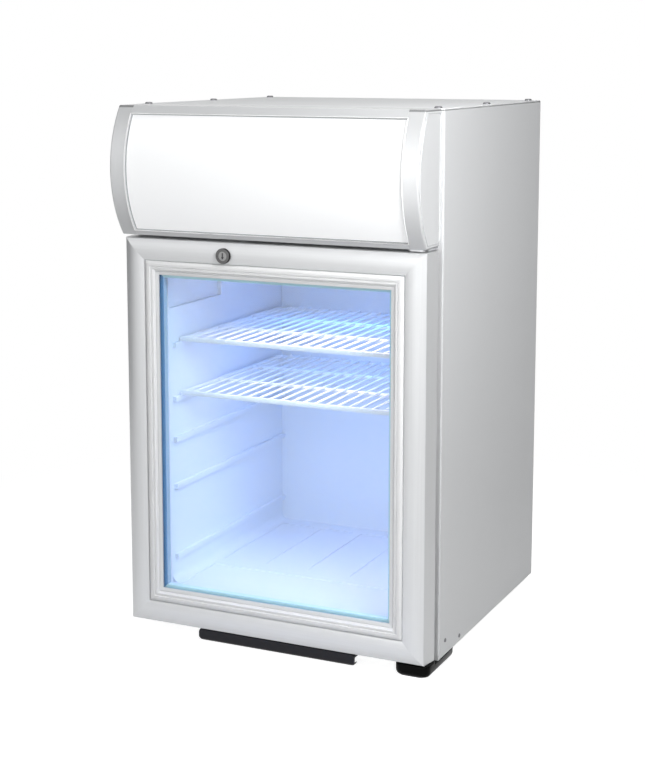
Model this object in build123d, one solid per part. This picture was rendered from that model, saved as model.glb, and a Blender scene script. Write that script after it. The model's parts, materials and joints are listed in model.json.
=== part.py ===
"""Countertop glass-door merchandiser with a lit canopy, as separate pieces in millimetres.

Axes: +X to the viewer's right, +Y to the back, +Z up.  The origin is on the floor, at the middle
of the overall width and depth.
"""
from build123d import *
import os
from math import cos, radians, sin

# ---------------------------------------------------------------- driving dimensions
CABINET_WIDTH = 400.0
CABINET_DEPTH = 354.0        # front flanges to back panel
CABINET_HEIGHT = 641.0       # underside to top of lid
FOOT_HEIGHT = 11.0
WALL_SPACER = 18.0           # bumpers behind the back panel
SHEET = 1.0                  # painted steel casing
FLANGE = 16.0                # folded edge of a side panel
FOLD = 2.0                   # outer bend radius of the casing
LID = 1.2

CANOPY_HEIGHT = 154.0
CANOPY_MARGIN = 4.0          # canopy's side in from the cabinet's side
CANOPY_GAP = 4.0             # above the door
CANOPY_BULGE = 32.0          # furthest point in front of the door's front plane
CANOPY_RADIUS = 131.0
CANOPY_LIFT = 2.0            # the bulge's middle above the canopy's middle
CAP_WIDTH = 20.5
CAP_WALL = 2.5
TOP_TRIM = 10.0
BOTTOM_TRIM = 6.5
PANEL = 2.0
FIT = 0.3                    # slip between pieces that are pushed together

DOOR_MARGIN = 5.0            # door's side in from the cabinet's side
DOOR_RAISE = 5.0             # door's bottom above the cabinet's underside
DOOR_DEPTH = 24.0
DOOR_GAP = 12.0              # door back to cabinet front, filled by the gasket
RAIL = 44.0                  # frame width seen from the front
RAIL_FLARE = 3.4             # the door's sides spread this much towards the back
RAIL_CROWN = 4.0             # bulge of the frame's outer band
BAND = 26.0                  # width of that outer band
GLASS = 4.0
GLASS_SETBACK = 4.0          # glass face behind the door's front plane
GLASS_AIR = 8.0
GLASS_BITE = 7.7             # glass edge hidden in the frame
GASKET_WIDTH = 10.5
GASKET_INSET = 25.5
GASKET_CLEARANCE = 0.3

WALL = 43.0                  # cavity's side to cabinet's side
FLOOR_WALL = 45.0            # cavity's floor to cabinet's underside
ROOF_WALL = 37.0             # cavity's ceiling to the machine tray
BACK_WALL = 43.0             # cavity's back to the back panel
TRAY_DROP = 5.0              # machine tray below the canopy
LINER = 2.5
BREAKER = 3.0
LINER_CORNER = 10.0
RIB = 5.0                    # how far a shelf ledge stands out
RIB_HEIGHT = 6.0
SPARE_LEDGES = (35.0, 125.0, 185.0)      # ledge tops above the cavity floor
SHELF_LEDGES = (164.0, 96.0)             # ledge tops below the ceiling, lower shelf first
UPPER_RECESS_DROP = 53.0                 # recess's lower edge below the ceiling
UPPER_RECESS = 6.0
UPPER_RECESS_DEPTH = 133.0
PAD_COUNT = 5
PAD_MARGIN = 7.0             # between the pads and the side walls
PAD_DEPTH = 1.0
FLOOR_STEP = 87.0            # front strip of the cavity floor, a little lower

SHELF_WIRE = 3.0
SHELF_ROD = 5.0
SHELF_BAND = 6.8
SHELF_PITCH = 15.0
SHELF_SETBACK = 19.0         # shelf front behind the cavity mouth
SHELF_BACK_GAP = 14.0        # shelf back to the cavity's back
SHELF_SIDE_GAP = 2.5
SHELF_REST = 0.2             # running clearance on the ledges

HINGE_INSET = 12.0           # hinge axis from the door's right edge and from its front
HINGE_PIN = 8.0
RUNNING = 0.08               # radial clearance of a pin in its bush
BUSH_BLOCK = 18.0
BUSH_NOSE = 12.0

LOCK_FROM_LEFT = 136.0
LOCK_FROM_TOP = 16.0
LOCK_RING = 18.5
LOCK_BODY = 16.0
LOCK_PLUG = 11.0
LOCK_CAM = 18.0              # cam reach

GRIP_LENGTH = 208.0
GRIP_CENTRE = 198.0          # from the door's left edge
GRIP_DROP = 13.0
GRIP_DEPTH = 20.0
GRIP_WALL = 3.0

TRAY = 1.2
COMPRESSOR_HEIGHT = 112.0
COMPRESSOR_INSET = 108.0     # its middle in from the cabinet's right side
COMPRESSOR_Y = 20.0
POT = (128.0, 104.0)         # compressor's length and width
SEAM_LIP = 6.0
FAN_INSET = 108.0            # its middle in from the cabinet's left side
FAN_RADIUS = 55.0
FAN_BLADES = 5

# ---------------------------------------------------------------- places worked out from them
half = CABINET_WIDTH / 2
door_width = CABINET_WIDTH - 2 * DOOR_MARGIN
overall_depth = CANOPY_BULGE + DOOR_DEPTH + DOOR_GAP + CABINET_DEPTH + WALL_SPACER
y_bulge = -overall_depth / 2
y_door = y_bulge + CANOPY_BULGE
y_door_back = y_door + DOOR_DEPTH
y_front = y_door_back + DOOR_GAP
y_back = y_front + CABINET_DEPTH
y_inner_back = y_back - SHEET - FOLD     # clear of the casing's rear folds
z_bottom = FOOT_HEIGHT
z_top = z_bottom + CABINET_HEIGHT
z_canopy = z_top - CANOPY_HEIGHT
z_door = z_bottom + DOOR_RAISE
z_door_top = z_canopy - CANOPY_GAP
door_height = z_door_top - z_door
z_tray = z_canopy - TRAY_DROP
z_machine = z_tray + TRAY
z_floor = z_bottom + FLOOR_WALL
z_ceiling = z_tray - ROOF_WALL
cavity = half - WALL
y_mouth = y_front + BREAKER
y_cavity_back = y_back - BACK_WALL
x_hinge = door_width / 2 - HINGE_INSET
y_hinge = y_door + HINGE_INSET
x_lock = LOCK_FROM_LEFT - door_width / 2
z_lock = z_door_top - LOCK_FROM_TOP
x_compressor = half - COMPRESSOR_INSET
x_fan = FAN_INSET - half
flange_edge = half - FLANGE
shelf_ledges = [z_ceiling - drop for drop in SHELF_LEDGES]
ledges = [z_floor + rise for rise in SPARE_LEDGES] + shelf_ledges


# ---------------------------------------------------------------- small helpers
def block(x, y, z):
    """A box from its three (low, high) spans."""
    spans = (x, y, z)
    middle = [(low + high) / 2 for low, high in spans]
    return Pos(*middle) * Box(*[high - low for low, high in spans])


def rod(axis, centre, radius, span):
    """A cylinder along one axis; centre holds its other two coordinates."""
    length = span[1] - span[0]
    middle = (span[0] + span[1]) / 2
    if axis == "x":
        return Pos(middle, *centre) * Rot(0, 90, 0) * Cylinder(radius, length)
    if axis == "y":
        return Pos(centre[0], middle, centre[1]) * Rot(90, 0, 0) * Cylinder(radius, length)
    return Pos(*centre, middle) * Cylinder(radius, length)


def along(shape, axis):
    """The edges of a shape that run along one axis."""
    return shape.edges().filter_by(axis)


def group(*shapes):
    """Several separate solids as one node."""
    solids = []
    for shape in shapes:
        solids += list(shape.solids())
    return Compound(children=solids)


def across(shape):
    """The same shape on the other side of the middle plane."""
    return mirror(shape, about=Plane.YZ)


def tube(points, radii, radius):
    """A round bar along straight runs and tangent arcs."""
    path = FilletPolyline(*points, radius=radii)
    start = Plane(origin=path @ 0, z_dir=path % 0)
    return sweep(start * Circle(radius), path=path)


def dome_screw(head, height, shank, length):
    """A cross-head screw, head up, seated at z = 0."""
    cap = Pos(0, 0, height / 2) * Cylinder(head / 2, height)
    cap = fillet(cap.edges().group_by(Axis.Z)[-1], height * 0.8)
    slot = Pos(0, 0, height) * Box(head * 0.55, head * 0.13, height)
    cap = cap - slot - Rot(0, 0, 90) * slot
    return cap + Pos(0, 0, -length / 2) * Cylinder(shank / 2, length)


# ---------------------------------------------------------------- casing
SCREW_HEAD = 9.0
SCREW_RISE = 2.2
SCREW_SHANK = 4.0
SCREW_HOLE = 4.6
SMALL_HEAD = 5.0
SMALL_RISE = 1.0
SMALL_SHANK = 2.4
SMALL_HOLE = 2.8
LID_SCREW_INSET = 12.0

lid_screw_places = [(side * (half - LID_SCREW_INSET), y_front + share * CABINET_DEPTH)
                    for side in (-1, 1) for share in (0.03, 0.49, 0.95)]
back_screw_inset = FLANGE / 2
back_seam = z_tray + 2.0     # joint between back panel and grille
back_screw_levels = (z_bottom + 30, z_bottom + 240, back_seam - 20, back_seam + 20, z_top - 25)
side_screw_places = ((y_front + 19, z_bottom + 19), (y_front + 67, z_bottom + 8.4))


def side_panel():
    """Right-hand side: a folded sheet, open towards the middle."""
    y_rear = y_back - SHEET
    shell = block((flange_edge, half), (y_front, y_rear), (z_bottom, z_top - LID))
    outer_edges = [e for e in shell.edges() if e.center().X > half - 0.01]
    shell = fillet(outer_edges, FOLD)
    inside = block((flange_edge - 1, half - SHEET), (y_front + SHEET, y_rear - SHEET),
                   (z_bottom + SHEET, z_top - LID - SHEET))
    inner_edges = [e for e in inside.edges() if e.center().X > half - SHEET - 0.01]
    panel = shell - fillet(inner_edges, FOLD - SHEET)
    for y, z in side_screw_places:
        panel = panel - rod("x", (y, z), SMALL_HOLE / 2, (half - 3, half + 1))
    for x, y in lid_screw_places:
        panel = panel - rod("z", (x, y), SCREW_HOLE / 2, (z_top - 6, z_top))
    for z in back_screw_levels:
        panel = panel - rod("y", (half - back_screw_inset, z), SMALL_HOLE / 2, (y_back - 5, y_back))
    return panel


def top_panel():
    lid = block((-half, half), (y_front, y_back), (z_top - LID, z_top))
    lid = fillet(along(lid, Axis.Z), 4.0)
    lid = fillet(lid.faces().sort_by(Axis.Z)[-1].edges(), LID * 0.6)
    for x, y in lid_screw_places:
        lid = lid - rod("z", (x, y), SCREW_HOLE / 2, (z_top - 6, z_top + 1))
    return lid


def top_panel_screws():
    screw = dome_screw(SCREW_HEAD, SCREW_RISE, SCREW_SHANK, 9.0)
    return group(*[Pos(x, y, z_top) * screw for x, y in lid_screw_places])


def casing_screws():
    """Small screws of the back covers and of the lower corners."""
    screw = dome_screw(SMALL_HEAD, SMALL_RISE, SMALL_SHANK, 2 * SHEET)
    found = []
    for side in (-1, 1):
        for z in back_screw_levels:
            place = Pos(side * (half - back_screw_inset), y_back, z)
            found.append(place * Rot(-90, 0, 0) * screw)
        for y, z in side_screw_places:
            found.append(Pos(side * half, y, z) * Rot(0, side * 90, 0) * screw)
    return group(*found)


def back_sheet(z_low, z_high):
    sheet = block((-half + FOLD, half - FOLD), (y_back - SHEET, y_back), (z_low, z_high))
    for side in (-1, 1):
        for z in back_screw_levels:
            place = (side * (half - back_screw_inset), z)
            sheet = sheet - rod("y", place, SMALL_HOLE / 2, (y_back - 3, y_back + 1))
    return sheet


def back_grille():
    """Upper cover: two fields of rounded air slots and a window for the controls."""
    sheet = back_sheet(back_seam + 0.5, z_top - LID - 0.5)
    slot = Rot(90, 0, 0) * extrude(SlotOverall(46, 4.5), SHEET * 3, both=True)
    for column in range(4):
        for row in range(12):
            place = Pos(-150 + column * 54, y_back, z_machine + 14 + row * 11)
            sheet = sheet - place * slot
    window = block((control_x[0] + 4, control_x[1] - 4), (y_back - 3, y_back + 1),
                   (control_z[0] + 4, control_z[1] - 4))
    return sheet - window


def base_panel():
    floor = block((-half + FOLD, half - FOLD), (y_front + SHEET, y_inner_back),
                  (z_bottom + SHEET, z_bottom + 2 * SHEET))
    lip = block((-flange_edge + 0.2, flange_edge - 0.2), (y_front, y_front + SHEET),
                (z_bottom + SHEET, z_bottom + FLANGE))
    return floor + lip


# ---------------------------------------------------------------- insulated tub
tub_out = cavity + LINER
foam_front = y_mouth
recess_z = z_ceiling - UPPER_RECESS_DROP
recess_back = y_mouth + UPPER_RECESS_DEPTH
EVAPORATOR = 2.0             # plate thickness
EVAPORATOR_MARGIN = (17.0, 30.0)         # in from the tub's sides, and from its floor and ceiling
CHANNEL = 4.0
SUCTION_INSET = 32.0         # suction line in from the cavity's side
evaporator_x = (EVAPORATOR_MARGIN[0] - cavity, cavity - EVAPORATOR_MARGIN[0])
evaporator_z = (z_floor + EVAPORATOR_MARGIN[1], z_ceiling - EVAPORATOR_MARGIN[1])
evaporator_y = y_cavity_back + LINER
SUCTION = 6.0
suction_x = cavity - SUCTION_INSET
suction_y = evaporator_y + EVAPORATOR + SUCTION / 2 + 1


def inner_liner():
    """Moulded tub: ledges and an upper recess in the side walls, pads in the floor."""
    outer = block((-tub_out, tub_out), (y_mouth, y_cavity_back + LINER),
                  (z_floor - LINER, z_ceiling + LINER))
    hollow = block((-cavity, cavity), (y_mouth - 1, y_cavity_back), (z_floor, z_ceiling))
    hollow = fillet(along(hollow, Axis.Y), LINER_CORNER)
    for side in (-1, 1):
        outer_x = sorted((side * cavity, side * (tub_out + UPPER_RECESS)))
        outer = outer + block(outer_x, (y_mouth, recess_back + LINER),
                              (recess_z - LINER, z_ceiling + LINER))
        inner_x = sorted((side * (cavity - 5), side * (cavity + UPPER_RECESS)))
        hollow = hollow + block(inner_x, (y_mouth - 1, recess_back),
                                (recess_z, z_ceiling - LINER_CORNER))
    tub = outer - hollow
    for side in (-1, 1):
        for ledge in ledges:
            ledge_x = sorted((side * (cavity - RIB), side * (cavity + 1)))
            ledge_z = (ledge - RIB_HEIGHT, ledge)
            tub = tub + block(ledge_x, (y_mouth + 6, y_cavity_back + 1), ledge_z)
    step = block((-cavity + 12, cavity - 12), (y_mouth - 1, y_mouth + FLOOR_STEP),
                 (z_floor - PAD_DEPTH, z_floor + 1))
    tub = tub - step
    pitch = 2 * (cavity - PAD_MARGIN) / PAD_COUNT
    for i in range(PAD_COUNT):
        x = (i - (PAD_COUNT - 1) / 2) * pitch
        pad = block((x - 0.42 * pitch, x + 0.42 * pitch),
                    (y_mouth + FLOOR_STEP + 23, y_cavity_back - 20),
                    (z_floor - PAD_DEPTH, z_floor + 1))
        tub = tub - fillet(along(pad, Axis.Z), 6.0)
    return tub


def insulation_foam():
    """Five slabs round the tub; the back one is hollowed for the evaporator."""
    y_span = (foam_front, y_inner_back)
    z_span = (z_bottom + 2 * SHEET, z_tray)
    recess = block((tub_out - 1, tub_out + UPPER_RECESS), (foam_front - 1, recess_back + LINER),
                   (recess_z - LINER, z_ceiling + LINER))
    side = block((tub_out, half - SHEET), y_span, z_span) - recess
    for y, z in side_screw_places:
        side = side - rod("x", (y, z), SMALL_HOLE / 2, (half - 8, half))
    floor = block((-tub_out, tub_out), y_span, (z_span[0], z_floor - LINER))
    roof = block((-tub_out, tub_out), y_span, (z_ceiling + LINER, z_tray))
    back = block((-tub_out, tub_out), (y_cavity_back + LINER, y_span[1]),
                 (z_floor - LINER, z_ceiling + LINER))
    pocket = block((evaporator_x[0] - 1, evaporator_x[1] + 1),
                   (evaporator_y - 1, suction_y + SUCTION / 2 + 0.5),
                   (evaporator_z[0] - 1, evaporator_z[1] + 1))
    duct = rod("z", (suction_x, suction_y), SUCTION / 2 + 0.5, (evaporator_z[1] - 9, z_tray + 1))
    return group(side, across(side), floor, roof - duct, back - pocket - duct)


def front_breaker_strips():
    """White strips that join the casing's front to the tub."""
    z_span = (z_bottom + FLANGE + 0.2, canopy_plate_z - 0.2)
    stile = block((cavity, flange_edge - 0.2), (y_front, y_mouth), z_span)
    rim = [e for e in along(stile, Axis.Z) if e.center().X < cavity + 1 and e.center().Y < y_front + 1]
    stile = fillet(rim, BREAKER * 0.7)
    sill = block((-cavity, cavity), (y_front, y_mouth), (z_span[0], z_floor))
    sill_rim = [e for e in along(sill, Axis.X) if e.center().Z > z_floor - 1
                and e.center().Y < y_front + 1]
    head = block((-cavity, cavity), (y_front, y_mouth), (z_ceiling, z_span[1]))
    head_rim = [e for e in along(head, Axis.X) if e.center().Z < z_ceiling + 1
                and e.center().Y < y_front + 1]
    return group(stile, across(stile), fillet(sill_rim, BREAKER * 0.7),
                 fillet(head_rim, BREAKER * 0.7))


def evaporator_plate():
    """Roll-bond plate on the back of the tub, with one raised serpentine channel."""
    x = evaporator_x
    plate = block(x, (evaporator_y, evaporator_y + EVAPORATOR), evaporator_z)
    rows = 8
    pitch = (evaporator_z[1] - evaporator_z[0] - 40) / (rows - 1)
    y = (evaporator_y + EVAPORATOR - 0.5, evaporator_y + EVAPORATOR + CHANNEL)
    for row in range(rows):
        z = evaporator_z[0] + 15 + row * pitch
        plate = plate + block((x[0] + 20, x[1] - 30), y, (z - 4, z + 4))
        if row < rows - 1:
            turn = x[0] + 20 if row % 2 else x[1] - 38
            plate = plate + block((turn, turn + 8), y, (z, z + pitch))
    return plate


LAMP_MARGIN = 17.0           # in from the cavity's sides
LAMP_HEIGHT = 10.0
LAMP_WALL = 2.0
LAMP_END = 3.0
lamp_y = (y_mouth + 8, y_mouth + 30)
lamp_reach = cavity - LAMP_MARGIN


def lamp_housing():
    """Channel of the cavity's light, on the ceiling behind the mouth."""
    z = (z_ceiling - LAMP_HEIGHT, z_ceiling)
    body = block((-lamp_reach, lamp_reach), lamp_y, z)
    hollow = block((LAMP_END - lamp_reach, lamp_reach - LAMP_END),
                   (lamp_y[0] + LAMP_WALL, lamp_y[1] - LAMP_WALL), (z[0] - 1, z[1] - LAMP_END))
    return body - hollow


def lamp_lens():
    """Frosted bar that sits in the channel and bulges 3 mm below it."""
    z = (z_ceiling - LAMP_HEIGHT - 3, z_ceiling - LAMP_HEIGHT + 2)
    lens = block((LAMP_END - lamp_reach, lamp_reach - LAMP_END),
                 (lamp_y[0] + LAMP_WALL, lamp_y[1] - LAMP_WALL), z)
    lower = [e for e in along(lens, Axis.X) if e.center().Z < z[0] + 1]
    return fillet(lower, 3.5)


# ---------------------------------------------------------------- canopy
LED_MARGIN = 24.0            # board ends in from the side panels' flanges
LED_PITCH = 20.0
LED_SPREAD = 30.0            # boards above and below the bulge's middle
canopy_plate_z = z_canopy - 14
z_bulge = (z_canopy + z_top) / 2 + CANOPY_LIFT
y_bulge_axis = y_bulge + CANOPY_RADIUS
canopy_half = half - CANOPY_MARGIN
cap_inner = canopy_half - CAP_WIDTH


def bulge(inset, x, z):
    """The canopy's curved body, drawn in by an inset, between two X and two Z planes."""
    drum = rod("x", (y_bulge_axis, z_bulge), CANOPY_RADIUS - inset, x)
    return drum & block(x, (y_bulge - 1, y_front), z)


def canopy_end_cap():
    x = (cap_inner, canopy_half)
    body = bulge(0, x, (z_canopy, z_top))
    side_edges = [e for e in body.edges() if e.center().X > x[1] - 0.01
                  and e.center().Y < y_front - 1]
    body = fillet(side_edges, 2.2)
    hollow = bulge(CAP_WALL, (x[0] - 1, x[1] - CAP_WALL), (z_canopy + CAP_WALL, z_top - CAP_WALL))
    body = body - hollow
    return body - block((x_hinge - 20, CABINET_WIDTH), (y_front - 3, y_front + 1),
                        (z_canopy - 1, z_canopy + CAP_WALL + 1))


def canopy_trim(z_low, z_high):
    """Silver strip along the canopy's upper or lower edge, between the end caps."""
    x = (-cap_inner + 0.2, cap_inner - 0.2)
    strip = bulge(0, x, (z_low, z_high))
    strip = strip - bulge(CAP_WALL, (x[0] - 1, x[1] + 1), (z_canopy + CAP_WALL, z_top - CAP_WALL))
    return strip - block((x_hinge - 20, x_hinge + 20), (y_front - 3, y_front + 1),
                         (z_canopy - 1, z_canopy + CAP_WALL + 1))


def canopy_panel():
    """Translucent front, sprung behind the trims and the end caps."""
    reach = canopy_half - CAP_WALL - 3
    x = (-reach, reach)
    z = (z_canopy + CAP_WALL + FIT, z_top - CAP_WALL - FIT)
    sheet = bulge(CAP_WALL + FIT, x, z)
    inside = bulge(CAP_WALL + FIT + PANEL, (x[0] - 1, x[1] + 1), (z[0] - 1, z[1] + 1))
    return sheet - inside


def canopy_back_plate():
    return block((-flange_edge + 0.2, flange_edge - 0.2), (y_front, y_front + SHEET),
                 (canopy_plate_z, z_top - LID))


def canopy_led_strips():
    """Two boards of light-emitting diodes on the back plate."""
    boards = []
    reach = flange_edge - LED_MARGIN
    count = int(2 * reach / LED_PITCH)
    for z in (z_bulge - LED_SPREAD, z_bulge + LED_SPREAD):
        board = block((-reach, reach), (y_front - 2, y_front), (z - 6, z + 6))
        for i in range(count):
            x = (i - (count - 1) / 2) * LED_PITCH
            board = board + block((x - 2.5, x + 2.5), (y_front - 3.5, y_front - 1.5),
                                  (z - 2.5, z + 2.5))
        boards.append(board)
    return group(*boards)


# ---------------------------------------------------------------- door
slot_depth = RAIL - GLASS_BITE - 0.3
pack_back = GLASS_SETBACK + 2 * GLASS + GLASS_AIR
door_middle = (z_door + z_door_top) / 2
CHAMBER = (2.5, 24.0)        # hollow of the frame, from its outer edge
CHAMBER_Y = (2.0, 21.5)      # and from its front plane


def rail_profile(flare):
    """Frame section: first coordinate back from the front plane, second in from the edge."""
    front = Line((DOOR_DEPTH, -flare), (2.0, 0))
    corner = ThreePointArc((2.0, 0), (0.2, 0.5), (-0.6, 1.8))
    crown = ThreePointArc((-0.6, 1.8), (-RAIL_CROWN, BAND * 0.52), (-2.0, BAND))
    rest = Polyline((-2.0, BAND), (0.0, BAND + 1.2), (-0.9, BAND + 2.4), (1.6, RAIL - 4.4),
                    (1.1, RAIL - 3.6), (1.8, RAIL), (GLASS_SETBACK, RAIL),
                    (GLASS_SETBACK, slot_depth), (pack_back, slot_depth), (pack_back, RAIL - 2),
                    (DOOR_DEPTH, RAIL - 2), (DOOR_DEPTH, -flare))
    face = make_face((front + corner + crown + rest).edges())
    chamber = Pos(sum(CHAMBER_Y) / 2, sum(CHAMBER) / 2) * Rectangle(
        CHAMBER_Y[1] - CHAMBER_Y[0], CHAMBER[1] - CHAMBER[0])
    return face - chamber


def mitre_wedge(length, reach, inner):
    """The part of a frame that belongs to its lower side, between the two mitres."""
    corner = length / 2
    points = [(-corner - 10, -reach - 10), (corner + 10, -reach - 10),
              (corner - inner, -reach + inner), (-corner + inner, -reach + inner)]
    return extrude(Plane.XZ * Polygon(*points, align=None), amount=80, both=True)


def frame_bar(length, reach, turn, flare=0.0):
    """One mitred side of the door frame, turned about the door's middle."""
    bar = extrude(Plane.YZ * rail_profile(flare), amount=length / 2 + 10, both=True)
    bar = Pos(0, 0, -reach) * bar & mitre_wedge(length, reach, RAIL + 20)
    bar = bar & Box(length, 200, 4 * reach)
    return Pos(0, y_door, door_middle) * Rot(0, turn, 0) * bar


def hinge_holes():
    """Bores for the bush noses, up and down through the frame's outer walls."""
    reach = BUSH_NOSE / 2 + 0.2
    low = rod("z", (x_hinge, y_hinge), reach, (z_door - 1, z_door + CHAMBER[0] + 1))
    high = rod("z", (x_hinge, y_hinge), reach, (z_door_top - CHAMBER[0] - 1, z_door_top + 1))
    return low + high


def door_rails():
    bottom = frame_bar(door_width, door_height / 2, 0) - hinge_holes()
    top = frame_bar(door_width, door_height / 2, 180) - hinge_holes()
    top = top - rod("y", (x_lock, z_lock), LOCK_BODY / 2 + 0.1, (y_door - 10, y_door_back + 1))
    for x in grip_screw_x:
        bottom = bottom - rod("z", (x, grip_screw_y), SCREW_HOLE / 2, (z_door - 1, z_door + 4))
    left = frame_bar(door_height, door_width / 2, 90, RAIL_FLARE)
    right = frame_bar(door_height, door_width / 2, -90, RAIL_FLARE)
    return bottom, top, left, right


def pane(y_low):
    inset = RAIL - GLASS_BITE
    return block((-door_width / 2 + inset, door_width / 2 - inset), (y_low, y_low + GLASS),
                 (z_door + inset, z_door_top - inset))


def frame_ring(inset, width, y):
    """A rectangular ring in the door's plane."""
    x = door_width / 2 - inset
    outer = block((-x, x), y, (z_door + inset, z_door_top - inset))
    inner = inset + width
    x = door_width / 2 - inner
    return outer - block((-x, x), (y[0] - 1, y[1] + 1), (z_door + inner, z_door_top - inner))


def quarter(ring):
    """A ring cut at its mitres into four bars."""
    parts = []
    for length, reach, turn in ((door_width, door_height / 2, 0), (door_width, door_height / 2, 180),
                                (door_height, door_width / 2, 90), (door_height, door_width / 2, -90)):
        wedge = Pos(0, y_door, door_middle) * Rot(0, turn, 0) * mitre_wedge(length, reach, 90)
        parts.append(ring & wedge)
    return group(*parts)


def glass_spacer():
    y = (y_door + GLASS_SETBACK + GLASS, y_door + GLASS_SETBACK + GLASS + GLASS_AIR)
    return quarter(frame_ring(RAIL - GLASS_BITE + 1.5, 10.0, y))


def door_gasket():
    """Bellows gasket: foot on the frame, narrow neck, magnet bar towards the cabinet."""
    neck = GASKET_WIDTH * 0.6
    side = (GASKET_WIDTH - neck) / 2
    y_end = y_front - GASKET_CLEARANCE
    foot = frame_ring(GASKET_INSET, GASKET_WIDTH, (y_door_back, y_door_back + 3))
    bellows = frame_ring(GASKET_INSET + side, neck, (y_door_back + 2.5, y_end - 4))
    magnet = frame_ring(GASKET_INSET, GASKET_WIDTH, (y_end - 4.5, y_end))
    return quarter(foot + bellows + magnet)


def hinge_bushes():
    """Blocks in the frame's hollow corners, bored for the pins."""
    def bush():
        body = Pos(0, 0, 15) * Box(BUSH_BLOCK, BUSH_BLOCK, 30 - 2 * CHAMBER[0])
        nose_low = -0.8
        nose = rod("z", (0, 0), BUSH_NOSE / 2, (nose_low, 6))
        bore = rod("z", (0, 0), HINGE_PIN / 2 + RUNNING, (nose_low - 1, 24))
        return body + nose - bore
    low = Pos(x_hinge, y_hinge, z_door) * bush()
    high = Pos(x_hinge, y_hinge, z_door_top) * Rot(180, 0, 0) * bush()
    return group(low, high)


# ---------------------------------------------------------------- grip under the door
grip_x = GRIP_CENTRE - door_width / 2
grip_screw_x = (grip_x - GRIP_LENGTH * 0.38, grip_x + GRIP_LENGTH * 0.38)
grip_screw_y = y_door + 13.0


def door_grip():
    """Finger pull: a plate under the bottom rail with a hooked lip along its front."""
    low, top = -GRIP_DROP, -0.2
    bend = 4.0
    outer = Polyline((GRIP_DEPTH, top), (0, top), (0, low + bend))
    hook = ThreePointArc((0, low + bend), (bend * 0.29, low + bend * 0.29), (bend, low))
    tip = Polyline((bend, low), (bend * 1.9, low), (bend * 1.9, low + GRIP_WALL * 0.8),
                   (bend + 0.6, low + GRIP_WALL * 0.8))
    inner = Polyline((bend + 0.6, low + GRIP_WALL * 0.8), (GRIP_WALL, low + bend + 0.6),
                     (GRIP_WALL, top - GRIP_WALL), (GRIP_DEPTH, top - GRIP_WALL),
                     (GRIP_DEPTH, top))
    face = make_face((outer + hook + tip + inner).edges())
    bar = extrude(Plane.YZ * face, amount=GRIP_LENGTH / 2, both=True)
    grip = Pos(grip_x, y_door + 1.0, z_door) * bar
    ends = [e for e in along(grip, Axis.Y) if e.center().Z < z_door - GRIP_DROP + 1]
    grip = fillet(ends, 1.6) if ends else grip
    for x in grip_screw_x:
        grip = grip - rod("z", (x, grip_screw_y), SCREW_HOLE / 2, (z_door - 6, z_door + 1))
    return grip


def grip_screws():
    screw = Rot(180, 0, 0) * dome_screw(7.0, 1.8, SCREW_SHANK, 6.5)
    seat = z_door - 0.2 - GRIP_WALL
    return group(*[Pos(x, grip_screw_y, seat) * screw for x in grip_screw_x])


# ---------------------------------------------------------------- lock
lock_face = y_door - RAIL_CROWN - 0.15
cam_y = (y_door_back + 5.5, y_door_back + 7.5)
LOCK_TAIL = 7.0


def lock_housing():
    ring = rod("y", (x_lock, z_lock), LOCK_RING / 2, (lock_face - 3.6, lock_face))
    front = ring.faces().sort_by(Axis.Y)[0]
    ring = fillet(front.edges(), 1.4)
    barrel = rod("y", (x_lock, z_lock), LOCK_BODY / 2, (lock_face - 0.5, y_door_back + 4.5))
    nut = rod("y", (x_lock, z_lock), 9.0, (y_door_back, y_door_back + 3.5))
    bore = rod("y", (x_lock, z_lock), LOCK_PLUG / 2 + RUNNING, (lock_face - 5, y_door_back + 6))
    return ring + barrel + nut - bore


def lock_plug():
    body = rod("y", (x_lock, z_lock), LOCK_PLUG / 2, (lock_face - 3.0, cam_y[0]))
    tail = rod("y", (x_lock, z_lock), LOCK_TAIL / 2, (cam_y[0] - 1, cam_y[1] + 1.5))
    keyway = block((x_lock - 0.9, x_lock + 0.9), (lock_face - 4, lock_face + 6),
                   (z_lock - 3.6, z_lock + 3.6))
    return body + tail - keyway


def lock_cam():
    """Tongue on the plug's tail; at rest it points to the door's free edge."""
    hub = rod("y", (x_lock, z_lock), 6.0, cam_y)
    arm = block((x_lock - LOCK_CAM, x_lock), cam_y, (z_lock - 4.5, z_lock + 4.5))
    cam = hub + arm
    tip = [e for e in along(cam, Axis.Y) if e.center().X < x_lock - LOCK_CAM + 1]
    cam = fillet(tip, 3.0)
    return cam - rod("y", (x_lock, z_lock), LOCK_TAIL / 2, (cam_y[0] - 1, cam_y[1] + 1))


def lock_strike():
    """Keeper on the cabinet's front: its lip hangs before the raised cam."""
    z = (z_lock + 10.5, z_door_top + CANOPY_GAP - 0.6)
    x = (x_lock - 17, x_lock + 17)
    keeper = block(x, (y_door_back + 2, y_front), z)
    return keeper - block((x[0] + 2, x[1] - 2), (y_door_back + 4, y_front - 2),
                          (z[0] - 1, z[1] + 1))


# ---------------------------------------------------------------- hinges and feet
BRACKET = 4.0
BRACKET_REACH = 90.0         # back from the door's front plane
BRACKET_WIDTH = 43.0
BOSS_TOP = 1.2               # below the door
FOOT_RADIUS = 15.0
foot_x = half - 35.0
foot_places = ((-foot_x, y_front + 34), (-foot_x, y_back - 35), (foot_x, y_back - 35))
bracket_x = (half - BRACKET_WIDTH, half)
bracket_screw_places = ((half - 12, y_front + 14), (half - 30, y_front + 14),
                        (half - 12, y_front + 42))


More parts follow.
